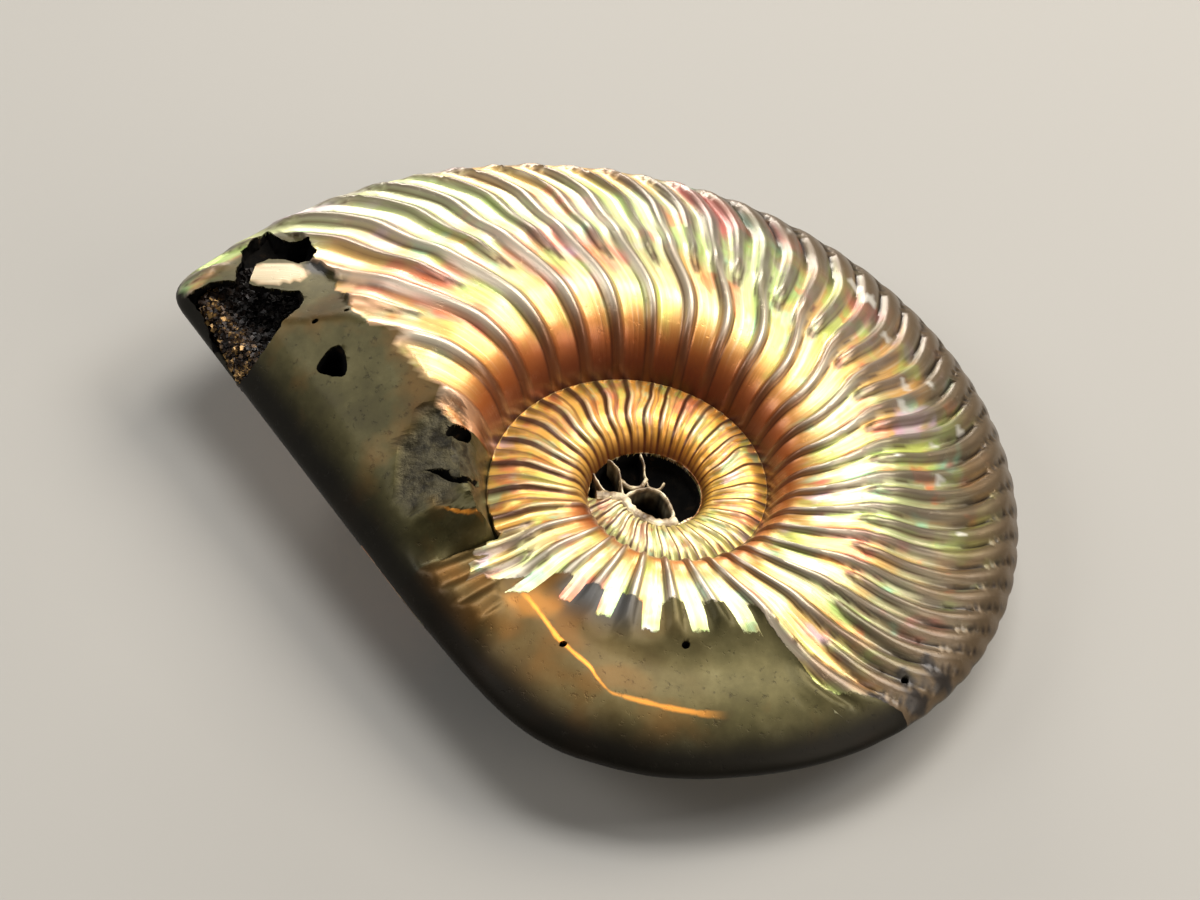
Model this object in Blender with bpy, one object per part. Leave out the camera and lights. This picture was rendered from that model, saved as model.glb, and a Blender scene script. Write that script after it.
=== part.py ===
"""A pyritized ammonite, ground and polished along one edge and lying on its flank.

The shell is a flat coil, alike on both sides of its mid-plane. Both faces are draped as height fields
over one plan of the coil and meet at its rim. Hollows are then cut out, and a crust of small crystals
lines the largest one.
"""

import math

import bmesh
import bpy
import numpy as np
from mathutils import Matrix, Vector, noise
from mathutils.geometry import delaunay_2d_cdt

# Units: the coil is worked out in millimetres and degrees in its own frame, with the mid-plane at z = 0.
# The spiral opens anticlockwise seen from above, and its keel crosses the x axis at KEEL_RADIUS. An angle
# counts whole turns, so the inner whorls have negative angles.
MM = 0.001

# Driving dimensions of the coil
KEEL_RADIUS = 18.0
GROWTH_PER_TURN = 2.457
SEAM = 0.29
LAST_ANGLE = 221.5
FIRST_ANGLE = LAST_ANGLE - 360

# Half thickness of a whorl across its height: both numbers are shares of the keel radius there
SECTION = ((0.29, 0.054), (0.305, 0.096), (0.33, 0.146), (0.37, 0.184), (0.45, 0.208),
           (0.60, 0.188), (0.7125, 0.136), (0.85, 0.084), (0.95, 0.043), (1.00, 0.0))
BLUNT_SECTION = ((0.60, 0.188), (0.7125, 0.160), (0.85, 0.137), (0.95, 0.118), (1.05, 0.095),
                 (1.15, 0.0))
BLUNT_FADE = (-75.0, -25.0)
KEEL_BULGE = ((-138.5, 0.22), (-126, 0.11), (-111, 0.083), (-95, 0.079), (-88, 0.066), (-79, 0.053),
              (-71, 0.036), (-60, 0.018), (-45, 0.011), (-15, 0.008), (20, 0.0))
KEEL_ROUNDING = 0.004
LEAST_HALF_THICKNESS = 0.55
LOWER_HUB_PLUG = 1.7
LOWER_RIB_WEAR = 0.5

# Ribs: the number of main ribs counted along the coil, their forward lean and their height
RIB_COUNT = ((-1100, -88), (-720, -56), (-480, -36), (-360, -26), (-250, -17.2), (-150, -9), (-119, -6),
             (-100, -4), (-56, 0), (-6.8, 5), (46.4, 10), (107.1, 15), (159, 19), (260, 26.5))
RIB_LEAN = ((-720, 4), (-345, 6), (-325, 8), (-300, 1), (-260, -3), (-240, -9), (-170, -9), (-130, -6),
            (-100, -3), (-75, 3), (-50, 8), (0, 9), (50, 8), (100, 6), (140, 2.6), (230, 1))
RIB_SWEEP = ((-720, 2), (-345, 2), (-300, 0), (-240, -8), (-130, -6), (-100, -3), (-75, 5), (-50, 10),
             (0, 12), (50, 8), (100, 3), (140, -1), (230, -1))
RIB_HEIGHT = ((0.29, 0.001), (0.31, 0.008), (0.34, 0.015), (0.40, 0.018), (0.55, 0.016), (0.80, 0.012),
              (0.95, 0.008), (1.0, 0.003))

# Ground edge: a straight chord cut across the last whorl, and facets that run on along the rim
CHORD_AZIMUTH = 228.9
CHORD_NORMAL = (math.cos(math.radians(CHORD_AZIMUTH)), math.sin(math.radians(CHORD_AZIMUTH)))
CHORD_DISTANCE = 13.95
RIM_SOFTNESS = 1.2
EDGE_SLOPE = ((-138.5, 1.5), (-120, 0.9), (-100, 0.55), (-75, 0.45), (-50, 0.5), (-25, 0.9), (0, 1.1),
              (160, 1.1), (172, 1.5), (221.5, 1.5))
EDGE_RADIUS = ((-138.5, 0.55), (-120, 0.45), (-100, 0.40), (-75, 0.35), (-50, 0.30), (-25, 0.20),
               (0, 0.12), (160, 0.12), (172, 0.40), (221.5, 0.55))

# Facets above the rounded rim: level at the rim, slope, and where the top one curls up to the flank
TOP_FACET_LEVEL = 1.35
TOP_FACET_SLOPE = 0.14
TOP_FACET_CURL = (4.2, 0.12)
TOP_FACET_END = (-50, -12)
CORNER_RIDGE = ((-130, 2.4), (-116, 4.0), (-104, 4.0), (-95, 3.5), (-86, 2.2))
CORNER_SLOPE = 0.30
CORNER_END = (-88, -76)
CHORD_RIDGE_INSET = 1.1
CHORD_RIDGE_LEVEL = 2.37
CHORD_FACET_SLOPE = 0.70
SKIN = 0.2

# Edge of the pearly skin on the late part of the last whorl: the distance along the chord's normal at
# which it ends, at stations along the chord. Outside it the core is bare and polished.
NACRE_EDGE = ((-24.5, 7.4), (-19.8, 8.0), (-18.4, 7.7), (-16.4, 8.4), (-14.4, 9.0), (-12.8, 8.8),
              (-11.35, 8.7), (-9.4, 9.5), (-7.2, 8.7), (-6.0, 8.3), (-5.2, 7.8), (-4.7, 7.0), (-3.0, 5.0))
NACRE_STEP = 0.15

# The last whorl breaks off in a bevelled block above a groove
END_GROOVE = 0.1
END_SLOPE = 1.5
END_BEVEL = 1.2
END_RISE = 8

# Hollows, as outlines in the plan
CAVITY_MOUTH = ((-25.90, 4.54), (-25.36, 4.83), (-24.68, 5.47), (-23.41, 5.63), (-22.49, 5.21),
                (-21.63, 4.98), (-20.55, 4.83), (-19.95, 4.90), (-19.53, 3.65), (-20.17, 2.49),
                (-20.14, 1.94), (-20.66, 1.41), (-21.12, 0.72), (-21.60, 0.34), (-21.75, -0.30),
                (-23.30, 0.90), (-23.75, 2.30), (-24.46, 3.30), (-25.63, 4.37))
CAVITY_NOTCH = ((-24.07, 8.07), (-23.63, 9.88), (-22.69, 8.95), (-21.80, 9.10), (-20.90, 8.68),
                (-20.28, 7.34), (-20.32, 6.96), (-20.80, 7.35), (-21.66, 7.57), (-22.73, 7.06),
                (-23.20, 6.56), (-23.60, 6.90))
CAVITY_CHAMBER = ((-25.60, 4.75), (-25.05, 6.00), (-24.20, 7.60), (-22.60, 8.60), (-20.80, 8.20),
                  (-19.60, 7.00), (-19.10, 5.00), (-19.40, 3.20), (-20.40, 1.80), (-21.80, 1.20),
                  (-23.20, 2.40), (-24.60, 3.80))
CAVITY_MIDDLE = (-22.3, 4.9)
CAVITY_FLOOR = -0.5
CAVITY_BOWL = 0.06
CAVITY_ROOF = 0.5
CAVITY_CEILING = 2.4

# Crust of crystals on that hollow's floor: gap below it, thickness, and half sizes where it thins out
CRUST_GAP = 0.3
CRUST_THICKNESS = 0.55
CRUST_REACH = (2.6, 3.4)
CRUST_LUMP = 0.53

TRIANGULAR_HOLE = ((-17.79, -0.12), (-17.72, 0.42), (-17.30, 1.10), (-16.63, 1.16), (-15.85, -0.48),
                   (-16.85, -0.44))
WALL_HOLE = ((-10.45, -3.30), (-9.60, -3.15), (-9.15, -2.30), (-9.30, -1.80), (-10.00, -2.20),
             (-10.50, -2.75))
CREVICE = ((-11.05, -4.66), (-10.17, -4.79), (-9.61, -5.11), (-9.10, -5.25), (-8.49, -4.69),
           (-8.20, -3.02))
CREVICE_WIDTH = 0.32
PINHOLES = ((-18.49, 2.27, 0.20), (-17.12, 2.95, 0.17), (-2.42, -10.88, 0.22), (3.04, -9.52, 0.25),
            (13.45, -7.28, 0.22))

# Hub chambers left open between thin septa: centre, half length, half width and the turn of the long side
HUB_CHAMBERS = ((-3.22, -0.72, 0.66, 0.30, 99), (-2.48, 0.39, 0.86, 0.50, 114),
                (-1.53, 1.24, 0.86, 0.50, 102), (-0.23, 1.62, 0.84, 0.55, 94),
                (1.04, 0.86, 1.50, 0.60, 112), (-0.16, -0.54, 1.05, 0.78, 0))
CHAMBER_LEVEL = 0.75
CHAMBER_DEPTH = 1.25

# Rows of points along a rib line, as shares of the keel radius
OUTER_ROWS = (0.307, 0.345, 0.40, 0.48, 0.57, 0.66, 0.77, 0.89)
INNER_ROWS = (0.31, 0.37, 0.48, 0.62)

# The coil lies tilted on its flank: slope of the plane it rests on, and that plane's level at the hub.
# The plane lies a little inside the thickest stretch, where the underside has worn flat.
REST_SLOPE = (0.0714, -0.0051)
REST_LEVEL = -4.53


def curve(x, knots):
    """Smooth curve through the knots that never overshoots them."""
    kx, ky = (np.array(column, float) for column in zip(*knots))
    step = np.diff(kx)
    rise = np.diff(ky) / step
    slope = np.zeros(len(kx))
    for i in range(1, len(kx) - 1):
        if rise[i - 1] * rise[i] > 0:
            left = 2 * step[i] + step[i - 1]
            right = step[i] + 2 * step[i - 1]
            slope[i] = (left + right) / (left / rise[i - 1] + right / rise[i])
    slope[0] = rise[0]
    slope[-1] = rise[-1]
    x = np.clip(x, kx[0], kx[-1])
    i = np.clip(np.searchsorted(kx, x, side="right") - 1, 0, len(step) - 1)
    t = (x - kx[i]) / step[i]
    return (ky[i] * (2 * t**3 - 3 * t**2 + 1) + step[i] * slope[i] * (t**3 - 2 * t**2 + t)
            + ky[i + 1] * (3 * t**2 - 2 * t**3) + step[i] * slope[i + 1] * (t**3 - t**2))


def ramp(x, start, end):
    t = np.clip((x - start) / (end - start), 0, 1)
    return t * t * (3 - 2 * t)


def soft_min(a, b, width):
    blend = np.maximum(width - np.abs(a - b), 0) / width
    return np.minimum(a, b) - blend * blend * width / 4


def keel_radius(angle):
    return KEEL_RADIUS * GROWTH_PER_TURN ** (np.asarray(angle, float) / 360)


def whorl_at(x, y):
    """Angle along the coil of the outermost whorl over a point, and the point's share of its radius."""
    radius = np.maximum(np.hypot(x, y), 1e-3)
    around = np.degrees(np.arctan2(y, x))
    turn = 360 * np.log(radius / (SEAM * KEEL_RADIUS)) / math.log(GROWTH_PER_TURN)
    angle = around + 360 * np.floor((turn - around) / 360 + 1e-9)
    angle = np.where(angle > LAST_ANGLE, angle - 360, angle)
    return angle, radius / keel_radius(angle)


def rib_lean(u, shoulder):
    outer = np.clip((u - 0.6) / 0.4, 0, 1)
    return curve(shoulder, RIB_LEAN) * ramp(u, 0.38, 0.60) + curve(shoulder, RIB_SWEEP) * outer


def rib_relief(u, angle):
    shoulder = angle
    for _ in range(4):
        shoulder = angle - rib_lean(u, shoulder)
    phase = curve(shoulder, RIB_COUNT)
    main = np.exp(-((phase - np.round(phase)) / 0.17) ** 2)
    band = 1 - np.exp(-((2 * phase - np.round(2 * phase)) / 0.20) ** 2)
    split = ramp(u, 0.50, 0.64)
    return curve(u, RIB_HEIGHT) * (main + (band - main) * split - 0.5)


def whorl_height(angle, u, bare_share):
    bulge = curve(angle, KEEL_BULGE) * (angle > FIRST_ANGLE - 10)
    u = u / (1 + bulge * ramp(u, 0.72, 1.0))
    sharp = curve(u, SECTION)
    blunt = np.where(u > BLUNT_SECTION[0][0], curve(u, BLUNT_SECTION), sharp)
    half = sharp + (blunt - sharp) * (1 - ramp(angle, *BLUNT_FADE)) * (angle > FIRST_ANGLE - 10)
    half = np.sqrt(half**2 + 2 * KEEL_ROUNDING * np.clip(1 - u, 0, 1) * ramp(u, 0.85, 1.0))
    relief = rib_relief(u, angle) * (1 - bare_share)
    return keel_radius(angle) * (half + relief) - SKIN * bare_share


def edge_distance(x, y):
    """Distance inwards from the rim, and from the chord alone."""
    around = np.degrees(np.arctan2(y, x))
    last = np.where(around < FIRST_ANGLE, around + 360, around)
    keel = keel_radius(last) * (1 + curve(last, KEEL_BULGE))
    chord = CHORD_DISTANCE - x * CHORD_NORMAL[0] - y * CHORD_NORMAL[1]
    return soft_min(keel - np.hypot(x, y), chord, RIM_SOFTNESS), chord, last


def ground_height(x, y):
    """Half thickness left by the grinding: the rim's rounding and the facets above it."""
    distance, chord, last = edge_distance(x, y)
    inside = np.maximum(distance, 0)
    edge = np.sqrt((curve(last, EDGE_SLOPE) * inside) ** 2 + 2 * curve(last, EDGE_RADIUS) * inside)
    curl_start, curl = TOP_FACET_CURL
    top_facet = (TOP_FACET_LEVEL + TOP_FACET_SLOPE * inside + curl * np.maximum(inside - curl_start, 0) ** 2
                 + 5 * ramp(last, *TOP_FACET_END))
    ridge = curve(last, CORNER_RIDGE)
    corner_facet = (TOP_FACET_LEVEL + TOP_FACET_SLOPE * ridge - CORNER_SLOPE * (ridge - inside)
                    + 3 * ramp(last, *CORNER_END))
    chord_facet = CHORD_RIDGE_LEVEL + CHORD_FACET_SLOPE * (chord - CHORD_RIDGE_INSET)
    low = soft_min(soft_min(top_facet, corner_facet, 0.1), edge, 0.4)
    high = soft_min(chord_facet, edge, 0.6)
    return np.where(last < 20, low, np.where(last > 110, high, edge))


def bare(x, y, angle, u):
    """Share of a point that lies outside the pearly skin's edge."""
    across = x * CHORD_NORMAL[0] + y * CHORD_NORMAL[1]
    along = y * CHORD_NORMAL[0] - x * CHORD_NORMAL[1]
    outside = ramp(across - curve(along, NACRE_EDGE), -NACRE_STEP, NACRE_STEP)
    return outside * ramp(angle, 150, 158) * (1 - ramp(u, 0.93, 0.96))


def upper_half_height(x, y):
    """Half thickness on the side that shows: ribs, bare core, broken end and ground facets included."""
    angle, u = whorl_at(x, y)
    z = whorl_height(angle, u, bare(x, y, angle, u))
    from_end = np.hypot(x, y) * np.radians(LAST_ANGLE - angle)
    start = whorl_height(angle - 360, u * GROWTH_PER_TURN, 1)
    block = start - END_GROOVE + END_SLOPE * from_end + END_RISE * np.maximum(from_end - END_BEVEL, 0)
    z = np.where(angle > LAST_ANGLE - 15, np.minimum(z, block), z)
    return np.minimum(np.maximum(z, LEAST_HALF_THICKNESS), ground_height(x, y))


def lower_half_height(x, y):
    """Half thickness on the underside: ribs worn low all along, and a hub plugged with matrix."""
    angle, u = whorl_at(x, y)
    worn = whorl_height(angle, u, 0) - LOWER_RIB_WEAR * keel_radius(angle) * rib_relief(u, angle)
    plug = np.maximum(LOWER_HUB_PLUG - 0.2 * np.hypot(x, y), LEAST_HALF_THICKNESS)
    return np.minimum(np.maximum(worn, plug), ground_height(x, y))


def polar(radius, angle):
    return radius * np.cos(np.radians(angle)), radius * np.sin(np.radians(angle))


def rim_radius(angle):
    near = np.zeros_like(angle)
    far = np.full_like(angle, 40.0)
    for _ in range(40):
        middle = (near + far) / 2
        inside = edge_distance(*polar(middle, angle))[0] > 0
        near = np.where(inside, middle, near)
        far = np.where(inside, far, middle)
    return near


def draped_solid(name, lines, rim_count, top, bottom):
    """Solid between two height fields over a plan. The first line is the closed rim."""
    points = []
    edges = []
    for number, line in enumerate(lines):
        first = len(points)
        points += [Vector(point) for point in line]
        edges += [(first + i, first + i + 1) for i in range(len(line) - 1)]
        if number == 0:
            edges.append((rim_count - 1, 0))
    plan, _, triangles, *_ = delaunay_2d_cdt(points, edges, [], 1, 1e-5)
    x, y = np.array([tuple(point) for point in plan]).T
    mesh = bmesh.new()
    layers = []
    for height in (top(x, y), bottom(x, y)):
        layers.append([mesh.verts.new((a * MM, b * MM, c * MM)) for a, b, c in zip(x, y, height)])
    upper, lower = layers
    for a, b, c in triangles:
        mesh.faces.new((upper[a], upper[b], upper[c]))
        mesh.faces.new((lower[c], lower[b], lower[a]))
    used = {}
    for a, b, c in triangles:
        for edge in ((a, b), (b, c), (c, a)):
            used[edge] = True
    for a, b in used:
        if (b, a) not in used:
            mesh.faces.new((upper[b], upper[a], lower[a], lower[b]))
    bmesh.ops.remove_doubles(mesh, verts=mesh.verts, dist=2e-6)
    bmesh.ops.triangulate(mesh, faces=mesh.faces)
    data = bpy.data.meshes.new(name)
    mesh.to_mesh(data)
    mesh.free()
    return bpy.data.objects.new(name, data)


def kept_runs(points, kept):
    """Unbroken runs of the points that are kept."""
    runs = [[]]
    for point, keep in zip(points, kept):
        if keep:
            runs[-1].append(point)
        elif runs[-1]:
            runs.append([])
    return [run for run in runs if run]


def coil_lines():
    """Plan of the coil: the rim, seams and edges, and lines that follow the ribs."""
    rim_angles = np.append(np.arange(FIRST_ANGLE + 1, 166, 3.2), np.arange(166, LAST_ANGLE, 2.2))
    rim = rim_radius(rim_angles)
    ground = (rim_angles < -12) | (rim_angles > 166)
    lines = [list(zip(*polar(rim, rim_angles)))]
    for inset in (0.25, 1.2):
        lines += kept_runs(zip(*polar(rim - inset, rim_angles)), ground)
    lines += kept_runs(zip(*polar(rim - 0.3, rim_angles)), ~ground)
    seam_angles = np.arange(FIRST_ANGLE - 620, LAST_ANGLE, 5.0)
    lines.append(list(zip(*polar(SEAM * keel_radius(seam_angles), seam_angles))))
    end_rim = rim_radius(np.array([LAST_ANGLE]))[0]
    end_radii = np.linspace(SEAM * keel_radius(LAST_ANGLE) + 0.05, end_rim - 1.3, 6)
    for setback in (-0.1, 0.02, END_BEVEL):
        lines.append(list(zip(*polar(end_radii, LAST_ANGLE - np.degrees(setback / end_radii)))))
    along = np.arange(NACRE_EDGE[0][0], -4, 0.9)
    for step in (-NACRE_STEP, NACRE_STEP):
        across = curve(along, NACRE_EDGE) + step
        x = across * CHORD_NORMAL[0] - along * CHORD_NORMAL[1]
        y = across * CHORD_NORMAL[1] + along * CHORD_NORMAL[0]
        angle, u = whorl_at(x, y)
        lines += kept_runs(zip(x, y), (angle > 150) & (u < 0.95))
    angles = np.arange(-1000, 260, 0.25)
    counted = curve(angles, RIB_COUNT)
    for count in np.arange(-48, 24, 0.25):
        shoulder = np.interp(count, counted, angles)
        inner = shoulder < FIRST_ANGLE
        if inner and count % 0.5:
            continue
        rows = np.array(INNER_ROWS if inner else OUTER_ROWS)
        angle = shoulder + rib_lean(rows, shoulder)
        x, y = polar(rows * keel_radius(angle), angle)
        seen, u = whorl_at(x, y)
        distance, _, last = edge_distance(x, y)
        margin = np.where((last < -12) | (last > 166), 1.9, 0.5)
        plain = (bare(x, y, seen, u) > 0.5) & bool(count % 1)
        lines += kept_runs(zip(x, y), (np.abs(seen - angle) < 1e-6) & (distance > margin) & ~plain)
    return lines


def solid_between(name, outline, levels):
    """Closed solid lofted through copies of an outline: each level is a height and a scale."""
    centre = Vector((sum(x for x, _ in outline), sum(y for _, y in outline))) / len(outline)
    mesh = bmesh.new()
    rings = []
    for height, scale in levels:
        spots = [centre + (Vector(point) - centre) * scale for point in outline]
        rings.append([mesh.verts.new(Vector((spot.x, spot.y, height)) * MM) for spot in spots])
    for low, high in zip(rings, rings[1:]):
        for i in range(len(outline)):
            j = (i + 1) % len(outline)
            mesh.faces.new((low[i], low[j], high[j], high[i]))
    mesh.faces.new(rings[0][::-1])
    mesh.faces.new(rings[-1])
    bmesh.ops.recalc_face_normals(mesh, faces=mesh.faces)
    bmesh.ops.triangulate(mesh, faces=mesh.faces)
    data = bpy.data.meshes.new(name)
    mesh.to_mesh(data)
    mesh.free()
    return bpy.data.objects.new(name, data)


def ring_outline(x, y, half_length, half_width, turn, count):
    """Outline of an ellipse."""
    turned = Matrix.Rotation(math.radians(turn), 2)
    outline = []
    for i in range(count):
        step = 2 * math.pi * i / count
        spot = turned @ Vector((half_length * math.cos(step), half_width * math.sin(step)))
        outline.append((x + spot.x, y + spot.y))
    return outline


def strip_outline(points, width):
    """Outline of a band of even width along a line, pointed at both ends."""
    sides = ([], [])
    for before, point, after in zip(points, points[1:], points[2:]):
        heading = Vector(after) - Vector(before)
        normal = Vector((-heading.y, heading.x)).normalized() * width / 2
        sides[0].append(tuple(Vector(point) - normal))
        sides[1].append(tuple(Vector(point) + normal))
    return [points[0], *sides[0], points[-1], *sides[1][::-1]]


def inner_points(outline, scales):
    """Smaller copies of an outline about its middle."""
    centre = Vector((sum(x for x, _ in outline), sum(y for _, y in outline))) / len(outline)
    return [[tuple(centre + (Vector(point) - centre) * scale)] for scale in scales for point in outline]


def chamber_floor(x, y):
    """Floor of the hidden hollow, a shallow bowl."""
    from_middle = np.hypot(x - CAVITY_MIDDLE[0], y - CAVITY_MIDDLE[1])
    return CAVITY_FLOOR + CAVITY_BOWL * from_middle**2


def chamber_roof(x, y):
    return np.minimum(upper_half_height(x, y) - CAVITY_ROOF, CAVITY_CEILING)


def crust_top(x, y):
    """Crust of crystals: thick in the middle, down to nothing at its edge."""
    lumps = np.array([noise.noise(Vector((a, b, 0)) / CRUST_LUMP) for a, b in zip(x, y)])
    from_middle = np.hypot((x - CAVITY_MIDDLE[0]) / CRUST_REACH[0], (y - CAVITY_MIDDLE[1]) / CRUST_REACH[1])
    cover = 1 - ramp(from_middle, 0.55, 1.1)
    return chamber_floor(x, y) + CRUST_GAP + np.maximum(cover * CRUST_THICKNESS * (1 + 0.8 * lumps), 0.0)


def link(thing, collection, colour=None, roughness=0.4):
    collection.objects.link(thing)
    if colour:
        material = bpy.data.materials.new(thing.name)
        material.use_nodes = True
        surface = material.node_tree.nodes["Principled BSDF"]
        surface.inputs["Base Color"].default_value = colour
        surface.inputs["Metallic"].default_value = 0.8
        surface.inputs["Roughness"].default_value = roughness
        thing.data.materials.append(material)
    else:
        thing.hide_render = True
        thing.display_type = "WIRE"


for old in list(bpy.data.objects):
    bpy.data.objects.remove(old)
fossil = bpy.data.collections.new("pyritized_ammonite")
cutters = bpy.data.collections.new("cutters")
bpy.context.scene.collection.children.link(fossil)
bpy.context.scene.collection.children.link(cutters)

plan_lines = coil_lines()
ammonite = draped_solid("ammonite", plan_lines, len(plan_lines[0]), upper_half_height,
                        lambda x, y: -lower_half_height(x, y))

# Hollows cut into the side that shows
hollows = [
    solid_between("cavity_mouth", CAVITY_MOUTH, ((-0.3, 0.92), (0.5, 1.0), (9, 1.03))),
    solid_between("cavity_notch", CAVITY_NOTCH, ((0.7, 0.90), (1.2, 1.0), (9, 1.03))),
    draped_solid("cavity_chamber", [list(CAVITY_CHAMBER), *inner_points(CAVITY_CHAMBER, (0.7, 0.35))],
                 len(CAVITY_CHAMBER), chamber_roof, chamber_floor),
    solid_between("triangular_hole", TRIANGULAR_HOLE, ((1.3, 0.55), (2.2, 0.9), (9, 1.03))),
    solid_between("wall_hole", WALL_HOLE, ((3.2, 0.5), (4.0, 0.9), (9, 1.05))),
    solid_between("crevice", strip_outline(CREVICE, CREVICE_WIDTH), ((2.9, 0.97), (9, 1.0))),
]
for x, y, radius in PINHOLES:
    mouth = float(upper_half_height(np.array([x]), np.array([y]))[0])
    hollows.append(solid_between("pinhole", ring_outline(x, y, radius, 0.8 * radius, 30, 6),
                                 ((mouth - 0.6, 0.5), (mouth + 0.5, 1.2))))
for x, y, half_length, half_width, turn in HUB_CHAMBERS:
    floor = CHAMBER_LEVEL - CHAMBER_DEPTH
    outline = ring_outline(x, y, half_length, half_width, turn, 10)
    levels = ((floor, 0.5), (floor + 0.4 * CHAMBER_DEPTH, 0.9), (3, 1.02))
    hollows.append(solid_between("hub_chamber", outline, levels))

# Crystals on the hollow's floor, just clear of the shell
crust_outline = [points[0] for points in inner_points(CAVITY_CHAMBER, (0.85,))]
crust_lines = [crust_outline, *inner_points(CAVITY_CHAMBER, (0.70, 0.54, 0.38, 0.22, 0.08))]
crust = draped_solid("crystal_crust", crust_lines, len(crust_outline), crust_top,
                     lambda x, y: chamber_floor(x, y) + CRUST_GAP)

# Lay the coil down on its flank, with the middle of its footprint at the origin
rest_normal = Vector((REST_SLOPE[0], REST_SLOPE[1], -1)).normalized()
turned = rest_normal.rotation_difference(Vector((0, 0, -1))).to_matrix().to_4x4()
ammonite.data.transform(turned @ Matrix.Translation((0, 0, -REST_LEVEL * MM)))
spots = np.array([tuple(vertex.co) for vertex in ammonite.data.vertices])
middle = (spots.min(axis=0) + spots.max(axis=0)) / 2
centred = Matrix.Translation((-middle[0], -middle[1], 0))
ammonite.data.transform(centred)
COIL_TO_REST = centred @ turned @ Matrix.Translation((0, 0, -REST_LEVEL * MM))
for thing in (crust, *hollows):
    thing.data.transform(COIL_TO_REST)
bench = solid_between("bench", ((-40, -40), (40, -40), (40, 40), (-40, 40)), ((-10, 1), (0, 1)))
link(ammonite, fossil, (0.45, 0.36, 0.20, 1), 0.35)
link(crust, fossil, (0.30, 0.20, 0.10, 1), 0.5)
for cutter in (*hollows, bench):
    link(cutter, cutters)
    cut = ammonite.modifiers.new(cutter.name, "BOOLEAN")
    cut.operation = "DIFFERENCE"
    cut.object = cutter
    cut.solver = "EXACT"
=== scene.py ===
"""Looks of a pyritized ammonite: ribbed pearly skin over a ground and polished pyrite core."""

import math

import bmesh
import bpy
import numpy as np
from mathutils import Matrix, Vector, noise
from mathutils.geometry import delaunay_2d_cdt


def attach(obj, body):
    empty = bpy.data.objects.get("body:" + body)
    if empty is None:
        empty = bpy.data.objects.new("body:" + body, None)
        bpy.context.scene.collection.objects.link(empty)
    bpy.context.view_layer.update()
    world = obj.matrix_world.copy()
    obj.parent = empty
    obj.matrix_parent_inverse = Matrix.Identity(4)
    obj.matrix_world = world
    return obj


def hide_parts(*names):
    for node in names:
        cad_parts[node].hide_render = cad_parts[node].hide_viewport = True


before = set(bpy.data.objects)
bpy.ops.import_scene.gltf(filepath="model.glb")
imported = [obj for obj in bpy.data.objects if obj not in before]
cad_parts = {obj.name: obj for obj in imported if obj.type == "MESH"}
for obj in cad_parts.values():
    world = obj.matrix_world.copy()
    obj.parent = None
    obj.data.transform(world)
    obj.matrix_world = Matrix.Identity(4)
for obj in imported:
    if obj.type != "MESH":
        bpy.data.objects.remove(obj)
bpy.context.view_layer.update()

# Sizes are in millimetres and degrees in the coil's own frame, with the mid-plane at z = 0, as in the CAD.
MM = 0.001
KEEL_RADIUS = 18
GROWTH_PER_TURN = 2.457
SEAM = 0.29
LAST_ANGLE = 221.5
FIRST_ANGLE = LAST_ANGLE - 360
# Points above this level belong to the side that shows
UPPER_FROM = -0.3

# Half thickness of a whorl across its height, both as shares of the keel radius there
SECTION = (
    (0.29, 0.054), (0.305, 0.096), (0.33, 0.146), (0.37, 0.184), (0.45, 0.208), (0.6, 0.188), (0.7125, 0.136),
    (0.85, 0.084), (0.95, 0.043), (1, 0))
BLUNT_SECTION = ((0.6, 0.188), (0.7125, 0.16), (0.85, 0.137), (0.95, 0.118), (1.05, 0.095), (1.15, 0))
BLUNT_FADE = (-75, -25)
KEEL_BULGE = (
    (-138.5, 0.22), (-126, 0.11), (-111, 0.083), (-95, 0.079), (-88, 0.066), (-79, 0.053), (-71, 0.036),
    (-60, 0.018), (-45, 0.011), (-15, 0.008), (20, 0))
KEEL_ROUNDING = 0.004
LEAST_HALF_THICKNESS = 0.55
LOWER_HUB_PLUG = 1.7
LOWER_RIB_WEAR = 0.5

# Ribs: the number of main ribs counted along the coil, their forward lean and their height
RIB_COUNT = (
    (-1100, -88), (-720, -56), (-480, -36), (-360, -26), (-250, -17.2), (-150, -9), (-119, -6), (-100, -4),
    (-56, 0), (-6.8, 5), (46.4, 10), (107.1, 15), (159, 19), (260, 26.5))
RIB_LEAN = (
    (-720, 4), (-345, 6), (-325, 8), (-300, 1), (-260, -3), (-240, -9), (-170, -9), (-130, -6), (-100, -3),
    (-75, 3), (-50, 8), (0, 9), (50, 8), (100, 6), (140, 2.6), (230, 1))
RIB_SWEEP = (
    (-720, 2), (-345, 2), (-300, 0), (-240, -8), (-130, -6), (-100, -3), (-75, 5), (-50, 10), (0, 12), (50, 8),
    (100, 3), (140, -1), (230, -1))
KEEL_SWEEP = ((-720, 3), (40, 4), (90, 7), (230, 9))
FRESH_FROM = (82, 112)
RIB_HEIGHT = (
    (0.29, 0.001), (0.31, 0.01), (0.34, 0.017), (0.4, 0.02), (0.55, 0.018), (0.8, 0.018), (0.93, 0.018),
    (0.97, 0.015), (1, 0.008))
RIM_SCALLOP = 0.006
# Where the main rib's crest lies in a rib spacing
CREST_PHASE = 0.05

# Share of the radius at which the ribs begin to split in two
RIB_SPLIT = (
    (-720, 0.46), (-160, 0.46), (-138, 0.44), (-124, 0.52), (-112, 0.68), (-50, 0.64), (-25, 0.48), (0, 0.4),
    (230, 0.4))

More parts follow.
